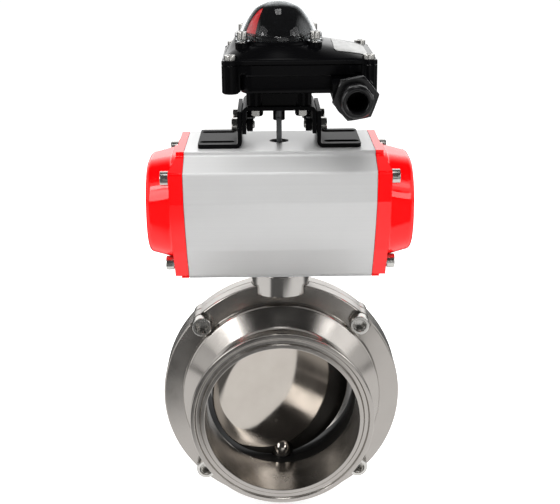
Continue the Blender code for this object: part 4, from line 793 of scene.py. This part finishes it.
def build_base():
    base = lofted("cast_box_base", [
        level(box_outline(4.2), BOX_Z), level(box_outline(2.6), BOX_Z + 0.6),
        level(box_outline(1.5), BOX_Z + 2.0), level(box_outline(1.2), BOX_Z + 4.0),
        level(box_outline(1.0), PARTING_Z - 6.6),
        level(box_outline(0.1), PARTING_Z - 5.6), level(box_outline(0), PARTING_Z)])
    columns = [rod("column", 5.6, PEDESTAL_Z, BOX_Z + 1, 40, "Z", (x, y, 0))
               for x in (-14.7, 14.7) for y in (-16.9, 16.9)]
    pedestal = drawn("pedestal", round_box(-18.6, 18.6, -20.6, 20.6, 2.0, 4), PEDESTAL_Z, BOX_Z + 1.3)
    post = [(LUG_R - 0.8, BOX_Z + 0.4), (LUG_R, BOX_Z + 1.2), (LUG_R, PARTING_Z - 0.1)]
    posts = [pulled("post", post, 48, "Z", (x, y, 0)) for x, y in LUGS]
    webs = [block("web", (min(x, x * 0.8), y - 2.2, BOX_Z + 1.5),
                  (max(x, x * 0.8), y + 2.2, PARTING_Z - 0.4)) for x, y in LUGS]
    boss = drawn("boss", boss_outline(), 34.5, 60.0, "-Y")
    rim = lofted("rim", [level(rim_outline(inset, 10, 37.6), z) for inset, z in (
        (8.2, PARTING_Z - 10.5), (1.0, PARTING_Z - 5.2), (0.2, PARTING_Z - 4.4), (0, PARTING_Z))])
    combined(base, "UNION", pedestal, *columns, *posts, *webs, rim, boss)
    lug_holes = bunch(*[rod("lug_hole", HOLE_M4, 218.2, 235, 24, "Z", (x, y, 0))
                        for x, y in LUGS])
    hollow = drawn("hollow", box_outline(2.6), 211.4, 250)
    gland_hole = rod("gland_hole", 8.5, 45.4, 90, 48, "-Y", (GLAND_X, 0, GLAND_Z))
    wire_hole = rod("wire_hole", 3.0, 32.8, 48.4, 24, "-Y", (GLAND_X, 0, 214.7))
    shaft_hole = rod("shaft_hole", 5.3, 180, PARTING_Z, 40)
    bolt_holes = bunch(*[rod("bolt_hole", HOLE_M5, 190, 206.5, 24, "Z", (x, BOX_BOLT_Y, 0))
                         for x in (-BOX_BOLT_X, BOX_BOLT_X)])
    combined(base, "DIFFERENCE", lug_holes, hollow, gland_hole, wire_hole, shaft_hole, bolt_holes)
    dressed(base, BLACK_CAST, "frame", "black_paint", "switch_box_base")


def spread_out(outline, count=160):
    """Points on an outline in even steps of angle about the stem, so that unlike rings can be bridged."""
    angles = [(atan2(y, x), x, y) for x, y in outline]
    angles.sort()
    first = angles[0]
    last = angles[-1]
    angles = [(last[0] - 2 * pi, last[1], last[2])] + angles + [(first[0] + 2 * pi, first[1], first[2])]
    points = []
    low = 0
    for k in range(count):
        aim = -pi + 2 * pi * (k + 0.5) / count
        while angles[low + 1][0] < aim:
            low += 1
        _, ax, ay = angles[low]
        _, bx, by = angles[low + 1]
        across = (bx - ax) * sin(aim) - (by - ay) * cos(aim)
        share = (ay * cos(aim) - ax * sin(aim)) / across if abs(across) > 1e-9 else 0
        points.append((ax + (bx - ax) * share, ay + (by - ay) * share))
    return points


def build_lid():
    seat_r = DOME_FLANGE_R + GAP
    rings = [level(spread_out(rim_outline(inset, 40)), z) for inset, z in (
        (0.3, LID_Z), (0, LID_Z + 0.3), (0, RIM_TOP - 0.5), (0.5, RIM_TOP), (0.9, RIM_TOP + 0.2))]
    for share in (0.0, 0.06, 0.14, 0.24, 0.36, 0.5, 0.64, 0.78, 0.9, 1.0):
        rise = 7.0 * (1 - (1 - share) ** 1.25)
        inset = 1.2 + 1.2 * (1 - share) * share
        outer = spread_out(rim_outline(inset, 40))
        inner = spread_out(round_ring(seat_r + 0.9, 60))
        rings.append([(a[0] + (b[0] - a[0]) * share, a[1] + (b[1] - a[1]) * share, RIM_TOP + 0.6 + rise)
                      for a, b in zip(outer, inner)])
    for out, z in ((0.4, LID_TOP - 0.6), (0, LID_TOP)):
        rings.append(level(spread_out(round_ring(seat_r + out, 60)), z))
    lid = lofted("moulded_lid", rings)
    lugs = [pulled("lug", [(LUG_R, LID_Z), (LUG_R, RIM_TOP - 0.5), (LUG_R - 0.5, RIM_TOP - 0.05)], 48,
                   "Z", (x, y, 0)) for x, y in LUGS]
    webs = [block("web", (min(x, x * 0.8), y - 2.2, LID_Z + 0.4), (max(x, x * 0.8), y + 2.2, RIM_TOP - 0.5))
            for x, y in LUGS]
    posts = [rod("post", 4.4, RIM_TOP, LID_TOP - 0.4, 40, "Z", (x, y, 0))
             for x, y in DOME_SCREWS]
    combined(lid, "UNION", *lugs, *webs, *posts)
    hollow = lofted("hollow", [level(box_outline(2.4), LID_Z - 2.4), level(box_outline(2.4), RIM_TOP - 1.2),
                               level(round_ring(seat_r - 4.8), LID_TOP - 3.6)])
    # A round seat is sunk into the slope for each screw head
    lug_hole = [(HOLE_M4, 220), (HOLE_M4, RIM_TOP - 0.02), (4.1, RIM_TOP - 0.02), (4.1, 250)]
    holes = bunch(rod("shaft_hole", 5.3, 210, 250, 40),
                  *[pulled("lug_hole", lug_hole, 32, "Z", (x, y, 0)) for x, y in LUGS],
                  *[rod("post_hole", HOLE_M4, LID_TOP - 3.5, 250, 24, "Z", (x, y, 0))
                    for x, y in DOME_SCREWS])
    combined(lid, "DIFFERENCE", hollow, holes)
    dressed(lid, BLACK_CAST, "frame", "black_paint", "switch_box_lid")
    return lid


DOME_SHARES = [(1, 0), (0.93, 0.20), (0.82, 0.45), (0.67, 0.70), (0.52, 0.855), (0.29, 0.955), (0.1, 0.994)]


def dome_path(radius, height, base):
    """Up the outside of a dome with straightish flanks, as (radius, z), without its top point."""
    return flowing([(radius * out, base + height * up) for out, up in DOME_SHARES], 4)


def build_indicator():
    top = DOME_Z + DOME_FLANGE_T
    outer = dome_path(DOME_R, DOME_TOP - top, top)
    inner = dome_path(DOME_R - DOME_WALL, DOME_TOP - top - DOME_WALL, top)
    profile = [(DOME_FLANGE_R - 0.3, DOME_Z), (DOME_FLANGE_R, DOME_Z + 0.3), (DOME_FLANGE_R, top - 0.5),
               (DOME_FLANGE_R - 0.5, top), (DOME_R + 0.5, top)]
    dome = pulled("clear_dome", profile + outer + [(0, DOME_TOP)], 128)
    ear = DOME_Z + 1.3
    lugs = bunch(*[rod("lug", 4.4, DOME_Z + 0.2, ear, 40, "Z", (x, y, 0))
                   for x, y in DOME_SCREWS])
    combined(dome, "UNION", lugs)
    holes = bunch(*[rod("hole", HOLE_M4, 230, 260, 24, "Z", (x, y, 0)) for x, y in DOME_SCREWS])
    well = pulled("well", [(DOME_R - DOME_WALL, 230)] + inner + [(0, DOME_TOP - DOME_WALL)], 128)
    combined(dome, "DIFFERENCE", holes, well)
    dressed(dome, CLEAR, "frame", "clear_plastic", "indicator_dome")

    height = DOME_TOP - top - 1.7
    shell = dome_path(SHROUD_R, height, top)
    inside = dome_path(SHROUD_R - SHROUD_WALL, height - SHROUD_WALL, top)
    shroud = pulled("gloss_shroud", [(SHROUD_R, DOME_Z)] + shell + [(0, top + height)], 128)
    hollow = [(SHROUD_R - SHROUD_WALL, 230)] + inside + [(0, top + height - SHROUD_WALL)]
    combined(shroud, "DIFFERENCE", pulled("hollow", hollow, 128))
    for side in (-1, 1):
        wide = 2 * tan(radians(WINDOW_HALF))
        wedge = [(side * (4.0 + u * DOME_R), v * DOME_R) for u, v in ((0, 0), (2, -wide), (2, wide))]
        window = drawn("window", wedge, top, top + 40)
        combined(shroud, "DIFFERENCE", window)
    dressed(swung(shroud, SHROUD_TURN), GLOSS_BLACK, "frame", "black_plastic", "indicator_shroud")

    rotor_r = 20.1
    rotor_h = height - SHROUD_WALL - 0.8
    rotor = pulled("two_colour_rotor", dome_path(rotor_r, rotor_h, top) + [(0, top + rotor_h)], 96)
    combined(rotor, "DIFFERENCE", rod("socket", 5.3, 230, top + 4.5, 48))
    dressed(swung(rotor, PART_OPEN), ROTOR_PLASTIC, "drive", "red_plastic", "indicator_rotor")

    screw = socket_screw("socket_screw_dome", 2.0, 6.2, 3.2, 4.4, 3.0, 40)
    repeated(screw, "knurled_dome_screw", SCREW_STEEL, "screw_steel", "dome_screw",
             [("Z", (x, y, ear)) for x, y in DOME_SCREWS])


def build_shaft():
    steps = [(3.4, 186.5), (3.8, 187.0), (3.8, 196.4), (5.0, BRIDGE_TOP), (5.0, 246.2)]
    shaft = pulled("turned_shaft", steps, 48)
    tongue = eased(block("tongue", (-1.7, -5.5, 166.0), (1.7, 5.5, 188.4)), 0.4)
    combined(shaft, "UNION", tongue)
    dressed(shaft, DARK_STEEL, "drive", "screw_steel", "switch_shaft")


def build_gland():
    at = (GLAND_X, -GLAND_FRONT, GLAND_Z)
    turn = radians(10)
    body = drawn("gland_hex_body", hexagon(24.0, turn), 0, 6.0)
    combined(body, "INTERSECT", pulled("dish", [(12.6, 0), (13.9, 0.9), (13.9, 4.9), (12.4, 6.0)], 64))
    combined(body, "UNION", rod("thread", 8.2, -14.0, 13.0, 48))
    combined(body, "DIFFERENCE", rod("way", 5.8, -30, 30, 48))
    dressed(laid(body, "-Y", at), GLAND_NYLON, "frame", "black_plastic", "gland_body")
    nut = drawn("domed_gland_nut", hexagon(18.6, turn), 6.3, 18.8)
    nose = [(9.8 - 1.9 * (1 - cos(radians(t))), 15.6 + 3.2 * sin(radians(t)))
            for t in (0, 15, 30, 45, 60, 75, 90)]
    combined(nut, "INTERSECT", pulled("nose", [(9.3, 6.3), (9.8, 6.9)] + nose, 96))
    way = [(8.5, 0), (8.5, 13.3), (5.8, 13.3), (5.8, 17.6), (6.3, 18.4), (7.3, 18.9)]
    combined(nut, "DIFFERENCE", pulled("nut_way", way, 64))
    dressed(laid(nut, "-Y", at), GLAND_NYLON, "frame", "black_plastic", "gland_nut")


def build_plate(lid):
    """A blank plate stuck on the lid's long slope, which it follows."""
    bpy.ops.object.select_all(action="DESELECT")
    bpy.ops.mesh.primitive_grid_add(x_subdivisions=16, y_subdivisions=28, size=2, location=(0, 0, 0))
    plate = bpy.context.active_object
    plate.name = "blank_plate"
    half_x = 10.2
    half_y = 21.0
    corner = 4.0
    for point in plate.data.vertices:
        u = point.co.x * half_x
        v = point.co.y * half_y
        beyond_u = max(abs(u) - (half_x - corner), 0)
        beyond_v = max(abs(v) - (half_y - corner), 0)
        reach = hypot(beyond_u, beyond_v)
        square = max(beyond_u, beyond_v)
        pull = square / reach if reach > 0 else 1
        u -= (1 - pull) * beyond_u * (1 if u > 0 else -1)
        v -= (1 - pull) * beyond_v * (1 if v > 0 else -1)
        point.co = Vector((43.5 + u, -8.0 + v, 250.0)) * MM
    applied(plate, "SHRINKWRAP", target=lid, wrap_method="PROJECT", use_project_z=True,
            use_negative_direction=True, use_positive_direction=False, offset=0.05 * MM)
    applied(plate, "SOLIDIFY", thickness=0.35 * MM, offset=1.0)
    dressed(plate, PLATE_METAL, "frame", "screw_steel")


def build_switch_box():
    build_base()
    lid = build_lid()
    build_plate(lid)
    build_indicator()
    build_shaft()
    build_gland()
    screw = socket_screw("socket_screw_lid", 2.0, 10.8, 3.6, 3.0, 3.0, 40)
    repeated(screw, "knurled_lid_screw", SCREW_STEEL, "screw_steel", "lid_screw",
             [("Z", (x, y, RIM_TOP)) for x, y in LUGS])


# Solids that show as they are, inside the housings

def dress_solids():
    finishes = {
        "left_piston": ALUMINIUM, "right_piston": ALUMINIUM, "pinion": SCREW_STEEL,
        "upper_stem_bush": BUSH_PLASTIC, "lower_stem_bush": BUSH_PLASTIC,
        "upper_pinion_bush": BUSH_PLASTIC, "lower_pinion_bush": BUSH_PLASTIC,
        "upper_cam": BUSH_PLASTIC, "lower_cam": BUSH_PLASTIC,
        "open_sensor": GLAND_NYLON, "closed_sensor": GLAND_NYLON,
    }
    for name, finish in finishes.items():
        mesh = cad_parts[name].data
        mesh.materials.clear()
        mesh.materials.append(finish)


# Floor, light and camera

CAMERA_AT = (-0.00699, -0.72288, 0.3246)
CAMERA_PAN = -0.55
CAMERA_DOWN = 17.42
CAMERA_ROLL = -0.48
CAMERA_LENS = 73.55


def build_floor():
    low = cad_box[0].z - 0.2 * MM
    bpy.ops.object.select_all(action="DESELECT")
    bpy.ops.mesh.primitive_plane_add(size=16, location=(0, 0, low))
    floor = bpy.context.active_object
    floor.name = "floor"
    finish = bpy.data.materials.new("pale_floor")
    finish.use_nodes = True
    tree = finish.node_tree
    tree.nodes.clear()
    path = node(tree, "LightPath")
    place = node(tree, "TexCoord")
    axes = node(tree, "SeparateXYZ", {"Vector": (place, "Object")})
    # The camera sees the floor evenly white. Glass sees it glow only behind the object. Diffuse rays see an
    # even glow that stands in for light bounced up from the floor
    behind = node(tree, "MapRange", {"Value": (axes, "Y"), "From Min": -0.25, "From Max": -0.10})
    through = node(tree, "Math", {0: (path, "Is Transmission Ray"), 1: (behind, "Result")},
                   operation="MULTIPLY")
    seen = node(tree, "Math", {0: (path, "Is Camera Ray"), 1: (through, "Value")}, operation="ADD")
    fill = node(tree, "Math", {0: (seen, "Value"), 1: 0.77}, operation="MULTIPLY")
    bounce = node(tree, "Math", {0: (path, "Is Diffuse Ray"), 1: 0.62, 2: (fill, "Value")},
                  operation="MULTIPLY_ADD")
    # Painted reflection: for glossy rays only, the floor glows by place: bright beside the object, dim
    # ahead of it on the left and behind it. Metal mirrors that glow
    side = node(tree, "Clamp", {"Value": (axes, "X"), "Min": -0.085, "Max": 0.10})
    slant = node(tree, "Math", {0: (side, "Result"), 1: 1.38, 2: (axes, "Y")}, operation="MULTIPLY_ADD")
    far_left = node(tree, "MapRange", {"Value": (axes, "X"), "From Min": -0.18, "From Max": -0.36,
                                       "To Max": 0.3})
    lean = node(tree, "Math", {0: (slant, "Value"), 1: (far_left, "Result")}, operation="ADD")
    ahead = node(tree, "MapRange", {"Value": (lean, "Value"), "From Min": -0.36, "From Max": -0.20,
                                    "To Min": 0.14, "To Max": 1.1}, interpolation_type="SMOOTHSTEP")
    back = node(tree, "MapRange", {"Value": (axes, "Y"), "From Min": 0.05, "From Max": 0.25,
                                   "To Min": 1.0, "To Max": 0.12}, interpolation_type="SMOOTHSTEP")
    painted_reflection_level = node(tree, "Math", {0: (ahead, "Result"), 1: (back, "Result")}, operation="MULTIPLY")
    matt = node(tree, "BsdfDiffuse", {"Color": linear("#E6E6E6")})
    glow = node(tree, "Emission", {"Color": (1, 1, 1, 1), "Strength": (bounce, "Value")})
    table = node(tree, "AddShader", {0: (matt, "BSDF"), 1: (glow, "Emission")})
    painted_reflection = node(tree, "Emission", {"Color": (1, 1, 1, 1), "Strength": (painted_reflection_level, "Value")})
    surface = node(tree, "MixShader", {0: (path, "Is Glossy Ray"), 1: (table, "Shader"),
                                       2: (painted_reflection, "Emission")})
    node(tree, "OutputMaterial", {"Surface": (surface, "Shader")})
    floor.data.materials.append(finish)


def build_room():
    world = bpy.data.worlds.new("studio")
    bpy.context.scene.world = world
    world.use_nodes = True
    tree = world.node_tree
    tree.nodes.clear()
    path = node(tree, "LightPath")
    axes = node(tree, "SeparateXYZ", {"Vector": (node(tree, "TexCoord"), "Generated")})
    # Pale surfaces are lit from all round, less from the viewer's side
    soft = node(tree, "MapRange", {"Value": (axes, "Y"), "From Min": -0.9, "From Max": 0.9,
                                   "To Min": 0.10, "To Max": 0.56})
    # Metal and gloss mirror a white backdrop, two white side walls and a dim room on the viewer's side
    backdrop = node(tree, "MapRange", {"Value": (axes, "Y"), "From Min": 0.40, "From Max": 0.95,
                                       "To Min": 0.05, "To Max": 1.5}, interpolation_type="SMOOTHSTEP")
    beside = node(tree, "Math", {0: (axes, "X")}, operation="ABSOLUTE")
    walls = node(tree, "MapRange", {"Value": (beside, "Value"), "From Min": 0.70, "From Max": 0.95,
                                    "To Max": 1.0}, interpolation_type="SMOOTHSTEP")
    dim = node(tree, "Math", {0: (backdrop, "Result"), 1: (walls, "Result")}, operation="MAXIMUM")
    sharp = node(tree, "Math", {0: (path, "Is Glossy Ray"), 1: (path, "Is Transmission Ray")},
                 operation="MAXIMUM")
    room = node(tree, "MapRange", {"Value": (sharp, "Value"), "To Min": (soft, "Result"),
                                   "To Max": (dim, "Value")})
    strength = node(tree, "MapRange", {"Value": (path, "Is Camera Ray"), "To Min": (room, "Result"),
                                       "To Max": 1.0})
    sky = node(tree, "Background", {"Color": (1, 1, 1, 1), "Strength": (strength, "Result")})
    node(tree, "OutputWorld", {"Surface": (sky, "Background")})


def build_lamps():
    # Place, width, height and power; then whether pale surfaces and gloss take its light
    lamps = {
        "left_low_softbox": ((-0.66, -0.80, 0.41), 0.36, 0.44, 2.1, False, True),
        "right_low_softbox": ((0.68, -0.82, 0.30), 0.36, 0.24, 1.1, False, True),
        "left_high_softbox": ((-0.84, -0.66, 0.68), 0.50, 0.7, 1.1, False, True),
        "right_high_softbox": ((0.86, -0.62, 0.62), 0.50, 0.7, 1.4, False, True),
        "left_panel": ((-0.75, -0.63, 0.745), 0.18, 0.20, 0.9, False, True),
        "right_panel": ((0.75, -0.63, 0.745), 0.18, 0.20, 0.23, False, True),
        "front_panel": ((0.26, -1.30, 0.03), 0.7, 0.3, 0.55, False, True),
        "top_softbox": ((0.0, -0.30, 1.25), 0.32, 0.32, 1.3, True, True),
        "high_diffuser": ((0.0, -0.62, 1.20), 2.2, 0.8, 21.0, True, False),
        "overhead_diffuser": ((0.0, 0.10, 1.30), 0.7, 0.7, 5.0, True, False),
        "back_diffuser": ((0.0, 1.05, 0.56), 0.7, 0.5, 6.0, True, False),
    }
    for name, (at, width, height, power, on_pale, on_gloss) in lamps.items():
        bpy.ops.object.light_add(type="AREA", location=at)
        lamp = bpy.context.active_object
        lamp.name = name
        lamp.data.shape = "RECTANGLE"
        lamp.data.size = width
        lamp.data.size_y = height
        lamp.data.energy = power
        lamp.visible_camera = False
        lamp.visible_transmission = False
        lamp.visible_diffuse = on_pale
        lamp.visible_glossy = on_gloss
        lamp.rotation_euler = (Vector((0, 0, 0.1)) - Vector(at)).to_track_quat("-Z", "Y").to_euler()


def build_camera():
    bpy.ops.object.camera_add(location=CAMERA_AT)
    camera = bpy.context.active_object
    pan = Matrix.Rotation(radians(CAMERA_PAN), 4, "Z")
    tilt = Matrix.Rotation(radians(90 - CAMERA_DOWN), 4, "X")
    roll = Matrix.Rotation(radians(CAMERA_ROLL), 4, "Z")
    camera.rotation_euler = (pan @ tilt @ roll).to_euler()
    camera.data.sensor_width = 36
    camera.data.lens = CAMERA_LENS
    camera.data.clip_start = 0.01
    bpy.context.scene.camera = camera
    bpy.context.scene.view_settings.view_transform = "Standard"


build_valve()
build_actuator()
build_bracket()
build_switch_box()
dress_solids()
build_floor()
build_room()
build_lamps()
build_camera()
